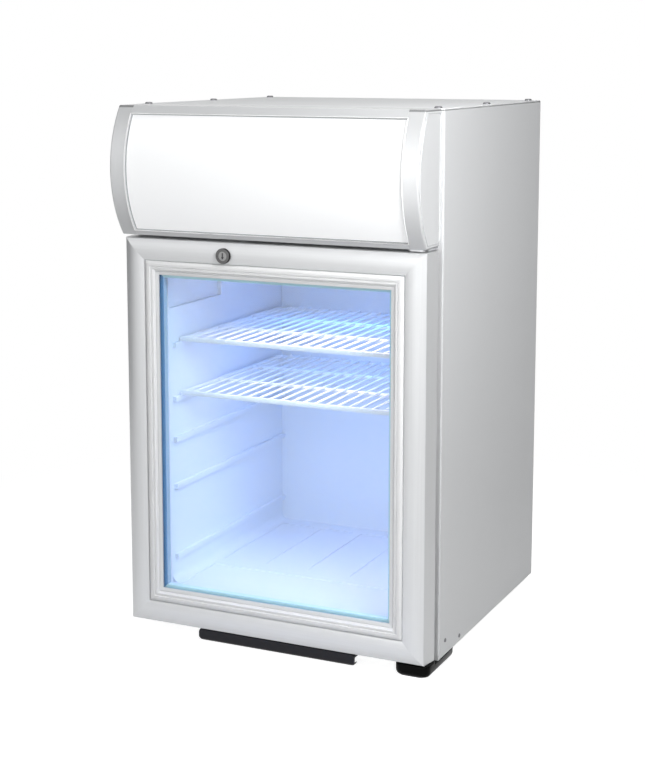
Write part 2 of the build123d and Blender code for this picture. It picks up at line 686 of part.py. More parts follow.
def hinge_bracket_bottom():
    """Black plate under the cabinet, with a boss that carries the lower pin."""
    plate = block(bracket_x, (y_door, y_door + BRACKET_REACH), (z_bottom - BRACKET, z_bottom))
    plate = fillet(along(plate, Axis.Z), 8.0)
    boss = block((bracket_x[0] + 1, half - 1.5), (y_door + 0.5, y_front - 4),
                 (z_bottom - BRACKET, z_door - BOSS_TOP))
    boss = fillet(along(boss, Axis.Z), 8.0)
    rim = boss.faces().sort_by(Axis.Z)[-1].edges()
    bracket = plate + fillet(rim, 1.2)
    bracket = bracket - rod("z", (x_hinge, y_hinge), HINGE_PIN / 2, (0, z_door + 1))
    for x, y in bracket_screw_places:
        bracket = bracket - rod("z", (x, y), SCREW_HOLE / 2, (0, z_bottom + 1))
    return bracket


def hinge_bracket_top():
    """Thin plate over the door, folded up behind the canopy."""
    z = (z_door_top + 1.0, z_door_top + 3.2)
    leaf = block((x_hinge - 16, half - 7), (y_door + 2, y_front), z)
    leaf = fillet([e for e in along(leaf, Axis.Z) if e.center().Y < y_door + 5], 8.0)
    fold = block((x_hinge - 16, half - 7), (y_front - 2.2, y_front), (z[0], z[1] + 30))
    return leaf + fold - rod("z", (x_hinge, y_hinge), HINGE_PIN / 2, (z[0] - 1, z[1] + 1))


def hinge_pins():
    low = rod("z", (x_hinge, y_hinge), HINGE_PIN / 2, (z_bottom - BRACKET, z_door + 22))
    high = rod("z", (x_hinge, y_hinge), HINGE_PIN / 2, (z_door_top - 22, z_door_top + 3.2))
    return group(low, high)


def hinge_screws():
    screw = Rot(180, 0, 0) * dome_screw(7.5, 2.0, SCREW_SHANK, BRACKET - 0.2)
    return group(*[Pos(x, y, z_bottom - BRACKET) * screw for x, y in bracket_screw_places])


def feet():
    """Three round rubber feet, and a rounded pad under the hinge bracket."""
    found = []
    for x, y in foot_places:
        foot = rod("z", (x, y), FOOT_RADIUS, (0, z_bottom + SHEET))
        found.append(fillet(foot.faces().sort_by(Axis.Z)[0].edges(), 2.0))
    pad = block((bracket_x[0] + 3, half - 4), (y_door + 2, y_front - 3), (0, z_bottom - BRACKET))
    pad = fillet(along(pad, Axis.Z), 9.0)
    found.append(fillet(pad.faces().sort_by(Axis.Z)[0].edges(), 2.5))
    return group(*found)


def wall_spacers():
    spacers = []
    for side in (-1, 1):
        for z in (z_bottom + 70, back_seam - 40):
            bumper = rod("y", (side * (half - 50), z), 12.0, (y_back, y_back + WALL_SPACER))
            spacers.append(fillet(bumper.faces().sort_by(Axis.Y)[-1].edges(), 3.0))
    return group(*spacers)


# ---------------------------------------------------------------- shelves
def shelf(ledge):
    """Wire shelf on one pair of ledges: front band, frame rods and fore-and-aft wires."""
    reach = cavity - SHELF_SIDE_GAP
    y_low = y_mouth + SHELF_SETBACK
    y_high = y_cavity_back - SHELF_BACK_GAP
    z_rod = ledge + SHELF_REST + SHELF_ROD / 2
    z_band = z_rod - SHELF_ROD / 2 + SHELF_BAND
    z_wire = z_band - SHELF_WIRE / 2
    rod_x = reach - SHELF_ROD / 2
    band = block((-reach, reach), (y_low, y_low + 2.4), (z_band - SHELF_BAND, z_band))
    grid = fillet(along(band, Axis.Y), 2.0)
    for side in (-1, 1):
        grid = grid + rod("y", (side * rod_x, z_rod), SHELF_ROD / 2, (y_low + 1, y_high))
    for share in (0.33, 0.66, 0.99):
        y = y_low + share * (y_high - y_low)
        grid = grid + rod("x", (y, z_rod), SHELF_ROD / 2, (-rod_x, rod_x))
    count = int(rod_x * 2 / SHELF_PITCH) - 1
    wires = []
    for i in range(count):
        x = (i - (count - 1) / 2) * SHELF_PITCH
        wires.append(rod("y", (x, z_wire), SHELF_WIRE / 2, (y_low + 1, y_high - 1)))
    return grid + wires


# ---------------------------------------------------------------- machine compartment
GROMMET = 10.0
bolt_places = [(x_compressor + dx, COMPRESSOR_Y + dy) for dx in (-62, 62) for dy in (-38, 38)]


def machine_tray():
    tray = block((-half + 1.2 * SHEET, half - 1.2 * SHEET), (y_mouth, y_inner_back),
                 (z_tray, z_machine))
    for x, y in bolt_places:
        tray = tray - rod("z", (x, y), SCREW_HOLE / 2, (z_tray - 1, z_machine + 1))
    return tray - rod("z", (suction_x, suction_y), SUCTION / 2 + 0.5, (z_tray - 1, z_machine + 1))


def pot(grow, z):
    """The compressor's oval outline, grown all round, between two heights."""
    shape = Pos(x_compressor, COMPRESSOR_Y, z[0]) * SlotOverall(POT[0] + grow, POT[1] + grow)
    return extrude(shape, amount=z[1] - z[0])


def compressor():
    """Welded steel pot on a four-armed foot."""
    foot_z = z_machine + GROMMET
    seam = foot_z + COMPRESSOR_HEIGHT * 0.52
    lower = pot(0, (foot_z + 3, seam))
    lower = fillet(lower.faces().sort_by(Axis.Z)[0].edges(), 14)
    upper = pot(-6, (seam, foot_z + COMPRESSOR_HEIGHT))
    upper = fillet(upper.faces().sort_by(Axis.Z)[-1].edges(), 26)
    flange = pot(SEAM_LIP, (seam - 2, seam + 3))
    foot = block((x_compressor - 74, x_compressor + 74), (COMPRESSOR_Y - 50, COMPRESSOR_Y + 50),
                 (foot_z, foot_z + 3))
    foot = fillet(along(foot, Axis.Z), 10)
    pads = pot(-46, (foot_z, foot_z + 10))
    body = lower + upper + flange + foot + pads
    for x, y in bolt_places:
        body = body - rod("z", (x, y), 3.3, (foot_z - 1, foot_z + 20))
    return body


def compressor_grommets():
    rings = []
    for x, y in bolt_places:
        ring = rod("z", (x, y), 9.0, (z_machine, z_machine + GROMMET))
        rings.append(ring - rod("z", (x, y), 3.3, (z_machine - 1, z_machine + GROMMET + 1)))
    return group(*rings)


def compressor_bolts():
    bolts = []
    for x, y in bolt_places:
        shank = rod("z", (x, y), 2.2, (z_tray, z_machine + GROMMET + 8))
        head_z = z_machine + GROMMET + 3
        head = Pos(x, y, head_z) * extrude(RegularPolygon(5, 6), amount=4)
        bolts.append(shank + head)
    return group(*bolts)


def relay_cover():
    """Cap over the terminals, against the pot's end."""
    x = x_compressor - POT[0] / 2 - 3
    z = z_machine + GROMMET + 22
    cover = block((x - 28, x + 2), (COMPRESSOR_Y - 24, COMPRESSOR_Y + 24), (z, z + 46))
    cover = fillet([e for e in along(cover, Axis.Z) if e.center().X < x - 20], 6)
    return cover - compressor_keepout()


def compressor_keepout():
    """The pot's widest outline with a small clearance, to seat the relay cover against it."""
    return pot(SEAM_LIP + 2 * FIT, (z_machine, z_machine + COMPRESSOR_HEIGHT + GROMMET))


condenser_x = (x_fan - 75, x_fan + 75)
condenser_y = (y_back - 46, y_back - 16)
condenser_z = (z_machine + 4, z_machine + 134)
fan_z = (condenser_z[0] + condenser_z[1]) / 2
shroud_y = (condenser_y[0] - 24, condenser_y[0])
motor_y = (shroud_y[0] - 46, shroud_y[0] - 4)


def condenser_coil():
    """Finned block with return bends at both ends."""
    core = block((condenser_x[0] + 8, condenser_x[1] - 8), condenser_y, condenser_z)
    count = 22
    pitch = (condenser_x[1] - condenser_x[0] - 16) / count
    for i in range(count):
        x = condenser_x[0] + 8 + (i + 0.5) * pitch
        for y in ((condenser_y[0] - 1, condenser_y[0] + 9), (condenser_y[1] - 9, condenser_y[1] + 1)):
            core = core - block((x - 1.6, x + 1.6), y, (condenser_z[0] + 3, condenser_z[1] - 3))
    y = (condenser_y[0] + condenser_y[1]) / 2
    for row in range(3):
        z = condenser_z[0] + 22 + row * 42
        for end, side in ((condenser_x[0] + 8, -1), (condenser_x[1] - 8, 1)):
            for leg in (z, z + 20):
                core = core + rod("x", (y, leg), 4, sorted((end - side, end + side * 4)))
            core = core + block(sorted((end + side * 3, end + side * 8)), (y - 4, y + 4),
                                (z - 4, z + 24))
    return core


def condenser_shroud():
    """Duct between condenser and fan, with a bell mouth round the blades."""
    plate = block(condenser_x, (shroud_y[0], shroud_y[0] + 2), (z_machine, condenser_z[1]))
    skirt = block(condenser_x, (shroud_y[0] + 1, shroud_y[1]), (z_machine, condenser_z[1]))
    skirt = skirt - block((condenser_x[0] + 2, condenser_x[1] - 2), shroud_y,
                          (z_machine + 2, condenser_z[1] - 2))
    mouth = rod("y", (x_fan, fan_z), FAN_RADIUS + 6, (shroud_y[0], shroud_y[0] + 12))
    hole = rod("y", (x_fan, fan_z), FAN_RADIUS + 3, (shroud_y[0] - 1, shroud_y[1] + 1))
    duct = plate + skirt + mouth - hole
    for angle in (45, 135, 225, 315):
        spoke = Rot(0, angle, 0) * block((16, FAN_RADIUS + 5), (-5, -1), (-3, 3))
        duct = duct + Pos(x_fan, shroud_y[0] + 1, fan_z) * spoke
    return duct


def fan_motor():
    motor = rod("y", (x_fan, fan_z), 21, (motor_y[0], shroud_y[0] - 4))
    motor = fillet(motor.faces().sort_by(Axis.Y)[0].edges(), 5)
    rim = rod("y", (x_fan, fan_z), 17.5, (shroud_y[0] - 5, shroud_y[0]))
    spindle = rod("y", (x_fan, fan_z), 2.5, (shroud_y[0] - 1, shroud_y[0] + 14))
    return motor + rim + spindle - fan_spokes_keepout()


def fan_spokes_keepout():
    cutter = []
    for angle in (45, 135, 225, 315):
        arm = Rot(0, angle, 0) * block((15.9, FAN_RADIUS + 5), (-5, -1), (-3, 3))
        cutter.append(Pos(x_fan, shroud_y[0] + 1, fan_z) * arm)
    return cutter


def fan_blade():
    """Hub and pitched blades on the motor's spindle."""
    y = (shroud_y[0] + 1.5, shroud_y[0] + 13.5)
    wheel = rod("y", (x_fan, fan_z), 14, y)
    for i in range(FAN_BLADES):
        blade = Box(FAN_RADIUS - 13, 1.6, 24)
        blade = fillet([e for e in blade.edges().filter_by(Axis.Y) if e.center().X > 0], 9)
        blade = Pos(FAN_RADIUS / 2 + 6, 0, 0) * Rot(24, 0, 0) * blade
        wheel = wheel + Pos(x_fan, (y[0] + y[1]) / 2, fan_z) * Rot(0, i * 360 / FAN_BLADES, 0) * blade
    return wheel - rod("y", (x_fan, fan_z), 2.5 + RUNNING, (y[0] - 1, y[1] + 1))


DRIER = 8.0
drier_x = 0.0
drier_y = (y_back - 130, y_back - 60)


def filter_drier():
    z = z_machine + DRIER + 1
    shell = rod("y", (drier_x, z), DRIER, drier_y)
    shell = fillet(shell.edges(), 5)
    saddle = block((drier_x - 6, drier_x + 6), (drier_y[0] + 25, drier_y[0] + 37), (z_machine, z))
    return shell + saddle


def refrigerant_tubes():
    """Discharge, liquid and suction lines between the sealed parts."""
    pot_top = z_machine + GROMMET + COMPRESSOR_HEIGHT * 0.52 - 14
    pot_back = COMPRESSOR_Y + 52
    z_high = condenser_z[1] - 8
    coil_y = (condenser_y[0] + condenser_y[1]) / 2
    coil_end = condenser_x[1]
    discharge = tube([(x_compressor - 20, pot_back + 0.2, pot_top),
                      (x_compressor - 20, pot_back + 40, pot_top),
                      (x_compressor - 20, pot_back + 40, z_high - 20),
                      (x_compressor - 20, coil_y, z_high - 20),
                      (coil_end + 0.2, coil_y, z_high - 20)], [14, 14, 14], 2.5)
    z_drier = z_machine + DRIER + 1
    liquid = tube([(coil_end + 0.2, coil_y, condenser_z[0] + 22),
                   (drier_x, coil_y, condenser_z[0] + 22),
                   (drier_x, drier_y[1] + 12, z_drier),
                   (drier_x, drier_y[1] + 0.1, z_drier)], [7, 5], 2.5)
    suction = tube([(suction_x, suction_y, evaporator_z[1] - 8),
                    (suction_x, suction_y, z_machine + 60),
                    (suction_x, pot_back + 24, z_machine + 60),
                    (x_compressor + 8, pot_back + 24, z_machine + 60),
                    (x_compressor + 8, pot_back + 0.2, z_machine + 60)],
                   [14, 12, 11], SUCTION / 2)
    return group(discharge, liquid, suction)


# ---------------------------------------------------------------- controls on the back
control_x = (flange_edge - 118, flange_edge - 2)
control_z = (z_machine + 84, z_machine + 144)
CONTROL_DEPTH = 26.0
control_middle = (control_z[0] + control_z[1]) / 2
dial_place = (control_x[0] + 22, control_middle)
switch_place = (control_x[0] + 55, control_middle)
inlet_place = (control_x[0] + 90, control_middle)
control_face = y_back + 1.5
DIAL_RADIUS = 14.0
ROCKER = (13.0, 20.0)
ROCKER_TILT = 8.0


def control_box():
    """Plastic box behind the grille; its face fills the window and carries the controls."""
    y = (y_back - SHEET - CONTROL_DEPTH, y_back - SHEET)
    body = block(control_x, y, control_z)
    face = block((control_x[0] + 4.3, control_x[1] - 4.3), (y[1] - 1, control_face),
                 (control_z[0] + 4.3, control_z[1] - 4.3))
    face = fillet([e for e in face.edges() if e.center().Y > control_face - 0.01], 1.0)
    box = body + face
    box = box - rod("y", dial_place, 3.0 + RUNNING, (control_face - 14, control_face + 1))
    x, z = switch_place
    box = box - block((x - ROCKER[0] / 2 - FIT, x + ROCKER[0] / 2 + FIT),
                      (control_face - 9, control_face + 1),
                      (z - ROCKER[1] / 2 - 0.9, z + ROCKER[1] / 2 + 0.9))
    x, z = inlet_place
    return box - block((x - 13.6, x + 13.6), (control_face - 20, control_face + 1),
                       (z - 10.1, z + 10.1))


def mains_inlet():
    """Appliance inlet: flanged shell with three blades in its well."""
    x, z = inlet_place
    shell = block((x - 13.5, x + 13.5), (control_face - 19.5, control_face + 1), (z - 10, z + 10))
    shell = fillet([e for e in along(shell, Axis.Y)], 2.0)
    flange = block((x - 16, x + 16), (control_face, control_face + 2), (z - 13, z + 13))
    flange = fillet(along(flange, Axis.Y), 4.0)
    well = block((x - 11.5, x + 11.5), (control_face - 15, control_face + 3), (z - 7.5, z + 7.5))
    well = fillet([e for e in along(well, Axis.Y) if e.center().Z > z], 4.0)
    inlet = shell + flange - well
    for dx, dz in ((-7, -1.5), (0, 2.5), (7, -1.5)):
        inlet = inlet + block((x + dx - 1, x + dx + 1), (control_face - 16, control_face - 3),
                              (z + dz - 2, z + dz + 2))
    return inlet


def thermostat_dial():
    x, z = dial_place
    y = (control_face + FIT, control_face + 12)
    knob = rod("y", dial_place, DIAL_RADIUS, y)
    knob = fillet(knob.faces().sort_by(Axis.Y)[-1].edges(), 1.5)
    for i in range(18):
        angle = radians(i * 20)
        groove = rod("y", (x + (DIAL_RADIUS + 0.4) * cos(angle), z + (DIAL_RADIUS + 0.4) * sin(angle)),
                     1.1, (y[0] + 2, y[1] + 1))
        knob = knob - groove
    pointer = block((x - 0.8, x + 0.8), (y[1] - 0.8, y[1] + 1), (z + 2, z + DIAL_RADIUS - 2))
    return knob - pointer + rod("y", dial_place, 3.0, (control_face - 12, y[0] + 1))


def light_switch_rocker():
    """Rocker in its well, tipped to its lower stop."""
    width, height = ROCKER
    tall = height / 2
    outline = Polyline((3.2, -tall), (1.6, 0), (3.2, tall), (-3.0, tall - 1), (-6.0, tall - 6),
                       (-6.0, 6 - tall), (-3.0, 1 - tall), (3.2, -tall))
    body = extrude(Plane.YZ * make_face(outline.edges()), amount=width / 2, both=True)
    x, z = switch_place
    return Pos(x, control_face - 1.0, z) * Rot(-ROCKER_TILT, 0, 0) * body


def build():
    """Every node by name."""
    bottom, top, left, right = door_rails()
    side = side_panel()
    cap = canopy_end_cap()
    y_glass = y_door + GLASS_SETBACK
    return {
        "side_panel_right": side, "side_panel_left": across(side),
        "top_panel": top_panel(), "top_panel_screws": top_panel_screws(),
        "casing_screws": casing_screws(), "base_panel": base_panel(),
        "back_panel": back_sheet(z_bottom + SHEET, back_seam), "back_grille": back_grille(),
        "inner_liner": inner_liner(), "insulation_foam": insulation_foam(),
        "front_breaker_strips": front_breaker_strips(), "evaporator_plate": evaporator_plate(),
        "lamp_housing": lamp_housing(), "lamp_lens": lamp_lens(),
        "canopy_end_cap_right": cap, "canopy_end_cap_left": across(cap),
        "canopy_top_trim": canopy_trim(z_top - TOP_TRIM, z_top),
        "canopy_bottom_trim": canopy_trim(z_canopy, z_canopy + BOTTOM_TRIM),
        "canopy_panel": canopy_panel(), "canopy_back_plate": canopy_back_plate(),
        "canopy_led_strips": canopy_led_strips(),
        "door_rail_bottom": bottom, "door_rail_top": top,
        "door_stile_left": left, "door_stile_right": right,
        "glass_outer": pane(y_glass), "glass_inner": pane(y_glass + GLASS + GLASS_AIR),
        "glass_spacer": glass_spacer(), "door_gasket": door_gasket(),
        "hinge_bushes": hinge_bushes(), "door_grip": door_grip(), "grip_screws": grip_screws(),
        "lock_housing": lock_housing(), "lock_plug": lock_plug(), "lock_cam": lock_cam(),
        "lock_strike": lock_strike(),
        "hinge_bracket_bottom": hinge_bracket_bottom(), "hinge_bracket_top": hinge_bracket_top(),
        "hinge_pins": hinge_pins(), "hinge_screws": hinge_screws(),
        "feet": feet(), "wall_spacers": wall_spacers(),
        "shelf_lower": shelf(shelf_ledges[0]), "shelf_upper": shelf(shelf_ledges[1]),
        "machine_tray": machine_tray(), "compressor": compressor(),
        "compressor_grommets": compressor_grommets(), "compressor_bolts": compressor_bolts(),
        "relay_cover": relay_cover(), "condenser_coil": condenser_coil(),
        "condenser_shroud": condenser_shroud(), "fan_motor": fan_motor(), "fan_blade": fan_blade(),
        "filter_drier": filter_drier(), "refrigerant_tubes": refrigerant_tubes(),
        "control_box": control_box(), "mains_inlet": mains_inlet(),
        "thermostat_dial": thermostat_dial(), "light_switch_rocker": light_switch_rocker(),
    }


os.makedirs("parts", exist_ok=True)
for name, shape in build().items():
    export_step(shape, f"parts/{name}.step")
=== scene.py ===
"""Countertop glass door merchandiser: finishes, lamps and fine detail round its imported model."""

import json
import math

import bmesh
import bpy
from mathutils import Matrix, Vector


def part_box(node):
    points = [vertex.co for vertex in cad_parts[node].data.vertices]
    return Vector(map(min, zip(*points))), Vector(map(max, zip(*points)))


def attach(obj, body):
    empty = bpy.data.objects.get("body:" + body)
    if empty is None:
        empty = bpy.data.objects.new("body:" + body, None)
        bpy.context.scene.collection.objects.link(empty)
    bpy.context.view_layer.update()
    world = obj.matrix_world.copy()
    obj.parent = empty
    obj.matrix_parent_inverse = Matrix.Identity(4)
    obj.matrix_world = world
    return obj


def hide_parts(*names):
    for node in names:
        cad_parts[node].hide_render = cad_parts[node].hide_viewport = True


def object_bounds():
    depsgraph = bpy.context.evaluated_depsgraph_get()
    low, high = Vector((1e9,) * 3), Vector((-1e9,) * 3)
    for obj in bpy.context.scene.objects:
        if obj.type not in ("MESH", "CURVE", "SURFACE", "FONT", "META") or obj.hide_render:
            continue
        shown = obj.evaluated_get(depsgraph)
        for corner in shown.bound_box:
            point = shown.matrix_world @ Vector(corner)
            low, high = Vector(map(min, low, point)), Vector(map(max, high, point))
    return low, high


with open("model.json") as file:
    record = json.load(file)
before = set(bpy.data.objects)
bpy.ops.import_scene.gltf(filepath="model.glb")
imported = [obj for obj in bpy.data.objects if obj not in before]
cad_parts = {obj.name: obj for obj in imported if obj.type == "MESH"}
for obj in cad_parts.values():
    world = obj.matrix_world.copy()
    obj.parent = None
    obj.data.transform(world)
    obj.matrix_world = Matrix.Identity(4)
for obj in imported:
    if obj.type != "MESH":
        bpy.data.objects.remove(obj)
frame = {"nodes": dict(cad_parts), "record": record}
cad_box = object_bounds()
MM = 0.001


# ---------------------------------------------------------------- materials in plain arithmetic
class Wire:
    """A value in a material. Arithmetic on it adds Math nodes."""

    def __init__(self, recipe, socket):
        self.recipe, self.socket = recipe, socket

    def maths(self, operation, first, second=0.0):
        made = self.recipe.node("ShaderNodeMath", {"operation": operation}, {0: first, 1: second})
        return made["Value"]

    def __add__(self, other):
        return self.maths("ADD", self, other)

    __radd__ = __add__

    def __sub__(self, other):
        return self.maths("SUBTRACT", self, other)

    def __rsub__(self, other):
        return self.maths("SUBTRACT", other, self)

    def __mul__(self, other):
        return self.maths("MULTIPLY", self, other)

    __rmul__ = __mul__

    def __neg__(self):
        return self * -1.0

    def __abs__(self):
        return self.maths("ABSOLUTE", self)

    def least(self, other):
        return self.maths("MINIMUM", self, other)

    def most(self, other):
        return self.maths("MAXIMUM", self, other)

    def sine(self):
        return self.maths("SINE", self)

    def ramp(self, low, high):
        """0 below low, 1 above high, smooth between."""
        made = self.recipe.node("ShaderNodeMapRange", {"interpolation_type": "SMOOTHSTEP"},
                                {"Value": self, "From Min": low, "From Max": high})
        return made["Result"]

    def between(self, low, high):
        """This value, 0 to 1, stretched to low and high."""
        return self * (high - low) + low


class Recipe:
    """One material, or the world, and the nodes that make it."""

    def __init__(self, name, world=None):
        self.owner = world or bpy.data.materials.new(name)
        self.owner.use_nodes = True
        self.tree = self.owner.node_tree
        self.tree.nodes.clear()
        place = self.node("ShaderNodeTexCoord")
        self.place = place["Object"]
        self.facing = place["Normal"]

    def node(self, kind, settings=None, inputs=None):
        """Adds a node of this kind and gives its outputs by name."""
        made = self.tree.nodes.new(kind)
        for name, value in (settings or {}).items():
            setattr(made, name, value)
        for name, value in (inputs or {}).items():
            entry = made.inputs[name] if isinstance(name, int) else next(
                s for s in made.inputs if name in (s.identifier, s.name))
            if isinstance(value, Wire):
                self.tree.links.new(value.socket, entry)
            else:
                entry.default_value = value
        outputs = {}
        for s in made.outputs:
            outputs.setdefault(s.name, Wire(self, s))
            outputs[s.identifier] = Wire(self, s)
        return outputs

    def axes(self, vector=None):
        """The X, Y and Z of a place or a direction."""
        made = self.node("ShaderNodeSeparateXYZ", None, {"Vector": vector or self.place})
        return made["X"], made["Y"], made["Z"]

    def stretched(self, scale):
        """The place, scaled by its own factor on each axis."""
        return self.node("ShaderNodeVectorMath", {"operation": "MULTIPLY"},
                         {0: self.place, 1: scale})["Vector"]

    def noise(self, scale, detail, roughness, stretch=None):
        """Soft random value of 0 to 1 with about scale blobs to the metre."""
        vector = self.stretched(stretch) if stretch else self.place
        return self.node("ShaderNodeTexNoise", None, {
            "Vector": vector, "Scale": scale, "Detail": detail, "Roughness": roughness})["Fac"]

    def cells(self, scale):
        """Scattered points with about scale to the metre: a distance and a colour for each."""
        return self.node("ShaderNodeTexVoronoi", {"feature": "F1"},
                         {"Vector": self.place, "Scale": scale})

    def looked_at(self):
        """1 for the eye and for what mirrors or glass show, 0 where light falls on surfaces."""
        path = self.node("ShaderNodeLightPath")
        return path["Is Camera Ray"].most(path["Is Glossy Ray"].most(path["Is Transmission Ray"]))

    def blend(self, share, first, second):
        """A colour between two, by share."""
        made = self.node("ShaderNodeMix", {"data_type": "RGBA", "clamp_factor": True}, {
            "Factor_Float": share, "A_Color": opaque(first), "B_Color": opaque(second)})
        return made["Result_Color"]

    def bump(self, height, depth, strength, under=None):
        """Normal of a surface whose relief is height times depth metres."""
        inputs = {"Height": height, "Distance": depth, "Strength": strength}
        if under is not None:
            inputs["Normal"] = under
        return self.node("ShaderNodeBump", None, inputs)["Normal"]

    def glow(self, level):
        """Even light of its own, as grey as level."""
        return self.node("ShaderNodeEmission", None,
                         {"Color": opaque((level,) * 3), "Strength": 1.0})["Emission"]

    def matt(self, level):
        """Dull surface, as grey as level."""
        return self.node("ShaderNodeBsdfDiffuse", None, {"Color": opaque((level,) * 3)})["BSDF"]

    def principled(self, **sockets):
        """Principled shader with these sockets; an underscore stands for a space."""
        inputs = {name.replace("_", " "): value for name, value in sockets.items()}
        return self.node("ShaderNodeBsdfPrincipled", None, inputs)["BSDF"]

    def mixed(self, share, first, second):
        """A shader between two, by share."""
        return self.node("ShaderNodeMixShader", None, {0: share, 1: first, 2: second})["Shader"]

    def surface(self, shader, output="ShaderNodeOutputMaterial"):
        """Ends the recipe with this shader and gives what it was made for."""
        self.node(output, None, {"Surface": shader})
        return self.owner

    def finish(self, **sockets):
        """Ends the recipe with one principled shader."""
        return self.surface(self.principled(**sockets))


def opaque(colour):
    """A colour with its alpha; a wire has its own."""
    return colour if isinstance(colour, Wire) else (*colour, 1.0)


def shade(colour, factor):
    """A colour made darker or lighter."""
    return tuple(min(1.0, c * factor) for c in colour)


# ---------------------------------------------------------------- finishes
LID_FOLD = (649.2, 649.7)    # heights in mm between which the painted shade in the seam under the folded lid's edge sets in


def painted_tilt_shade(r, base, colour, fall):
    """Painted shade: darkens what leans up or down; fall is the share of light left there."""
    if fall >= 1.0:
        return base
    return r.blend(abs(r.axes(r.facing)[2]).ramp(0.08, 0.55), base, shade(colour, fall))


def painted_seam_shade(r, base, colour):
    """Painted shade: a dark hairline where the lid's edge is folded down over its neighbours,
    standing in for the shade in that seam.
    """
    z = r.axes()[2] * 1000.0
    upright = 1.0 - r.axes(r.facing)[2].ramp(0.5, 0.9)
    return r.blend(z.ramp(*LID_FOLD) * upright, base, shade(colour, 0.32))


def powder_coat(name, colour, metallic=0.1, rough=0.45, fall=1.0, seam_shade=False, **more):
    """Sprayed and baked coat: fine peel, faint metal flake, handling marks; where asked for,
    painted shade on faces that lean up or down and at the lid's fold.
    """
    r = Recipe(name)
    peel = r.noise(900.0, 2.0, 0.6)
    flake = r.cells(2600.0)["Distance"]
    cloud = r.noise(6.0, 3.0, 0.55)
    smudge = r.noise(28.0, 4.0, 0.6).ramp(0.52, 0.78)
    value = cloud * 0.5 + flake.ramp(0.2, 0.75) * 0.5
    base = painted_tilt_shade(r, r.blend(value, shade(colour, 0.965), shade(colour, 1.035)), colour, fall)
    if seam_shade:
        base = painted_seam_shade(r, base, colour)
    return r.finish(Base_Color=base, Metallic=metallic,
                    Roughness=peel.between(rough - 0.05, rough + 0.05) + smudge * 0.05,
                    Normal=r.bump(peel, 0.00006, 0.35), **more)


def drawn_metal(name, colour, along, edge=1.0, fall=1.0):
    """Lacquered extrusion with drawing lines along one axis. Below 1, edge paints shade on faces
    turned to +X, the outer right side; below 1, fall paints shade on faces that lean up or down.
    """
    r = Recipe(name)
    stretch = [1.0, 1.0, 1.0]
    stretch["XYZ".index(along)] = 0.012
    lines = r.noise(1500.0, 3.0, 0.6, stretch)
    streak = r.noise(420.0, 2.0, 0.6, stretch).ramp(0.3, 0.7)
    cloud = r.noise(9.0, 3.0, 0.5)
    flake = r.cells(3200.0)["Distance"].ramp(0.15, 0.7)
    value = lines * 0.3 + streak * 0.3 + cloud * 0.25 + flake * 0.15
    base = r.blend(value, shade(colour, 0.95), shade(colour, 1.04))
    # Painted shade on faces turned to +X.
    if edge < 1.0:
        outer = r.axes(r.facing)[0].ramp(0.55, 0.95)
        base = r.blend(outer, base, shade(colour, edge))
    base = painted_tilt_shade(r, base, colour, fall)
    smudge = r.noise(35.0, 4.0, 0.6).ramp(0.5, 0.8)
    return r.finish(Base_Color=base, Metallic=0.35,
                    Roughness=lines.between(0.32, 0.44) + smudge * 0.06,
                    Coat_Weight=0.15, Coat_Roughness=0.22,
                    Normal=r.bump(lines, 0.00003, 0.25))


def moulded(name, colour, rough, grain=700.0, depth=0.00005, spread=0.03, coat=0.0, **more):
    """Moulded or formed plastic and rubber: fine grain, slight cloud in tone and sheen."""
    r = Recipe(name)
    fine = r.noise(grain, 3.0, 0.6)
    cloud = r.noise(14.0, 3.0, 0.55)
    scuff = r.noise(60.0, 5.0, 0.65).ramp(0.55, 0.8)
    base = r.blend(cloud * 0.6 + fine * 0.4, shade(colour, 1 - spread), shade(colour, 1 + spread))
    sockets = {"Base_Color": base, "Normal": r.bump(fine, depth, 0.3),
               "Roughness": fine.between(rough - 0.04, rough + 0.05) + scuff * 0.07}
    if coat:
        sockets.update(Coat_Weight=coat, Coat_Roughness=0.08)
    return r.finish(**sockets, **more)


def metal(name, colour, rough, grain, stretch=None, spread=0.08, spangle=False):
    """Bare or plated metal with fine scratches, or the spangle of hot-dip zinc."""
    r = Recipe(name)
    scratch = r.noise(grain, 4.0, 0.65, stretch)
    cloud = r.noise(22.0, 4.0, 0.6)
    value = scratch * 0.5 + cloud * 0.5
    if spangle:
        value = value * 0.4 + r.axes(r.cells(130.0)["Color"])[0] * 0.6
    base = r.blend(value, shade(colour, 1 - spread), shade(colour, 1 + spread))
    return r.finish(Base_Color=base, Metallic=1.0,
                    Roughness=value.between(rough - 0.08, rough + 0.1),
                    Normal=r.bump(scratch, 0.00002, 0.3))


def lit_canopy(name):
    """Opal acrylic with diodes behind it: nearly even, a little weaker at its edges."""
    r = Recipe(name)
    low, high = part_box("canopy_panel")
    x, _, z = r.axes()
    edge_z = (z - low.z).least(high.z - z).ramp(-0.004, 0.028)
    edge_x = (x - low.x).least(high.x - x).ramp(-0.01, 0.03)
    haze = r.noise(11.0, 2.0, 0.5)
    level = edge_z.between(0.96, 1.0) * edge_x.between(0.96, 1.0) * haze.between(0.985, 1.01)
    glow = r.blend(level, (0.0, 0.0, 0.0), (0.985, 0.99, 1.0))
    skin = r.noise(320.0, 2.0, 0.5)
    return r.finish(Base_Color=r.blend(haze, (0.66, 0.67, 0.675), (0.70, 0.705, 0.71)),
                    Roughness=skin.between(0.16, 0.26), Emission_Color=glow,
                    Emission_Strength=0.40, Normal=r.bump(skin, 0.00003, 0.12))


def lit_lens(name):
    """Frosted lens of the cavity lamp."""
    r = Recipe(name)
    rib = 2.5 * MM
    ribs = (r.axes()[0] * (2 * math.pi / rib)).sine()
    glow = r.blend(ribs, (0.62, 0.78, 1.0), (0.80, 0.90, 1.0))
    return r.finish(Base_Color=r.blend(ribs, (0.85, 0.9, 0.95), (0.92, 0.95, 1.0)),
                    Roughness=ribs.between(0.3, 0.4), Emission_Color=glow, Emission_Strength=1.4)


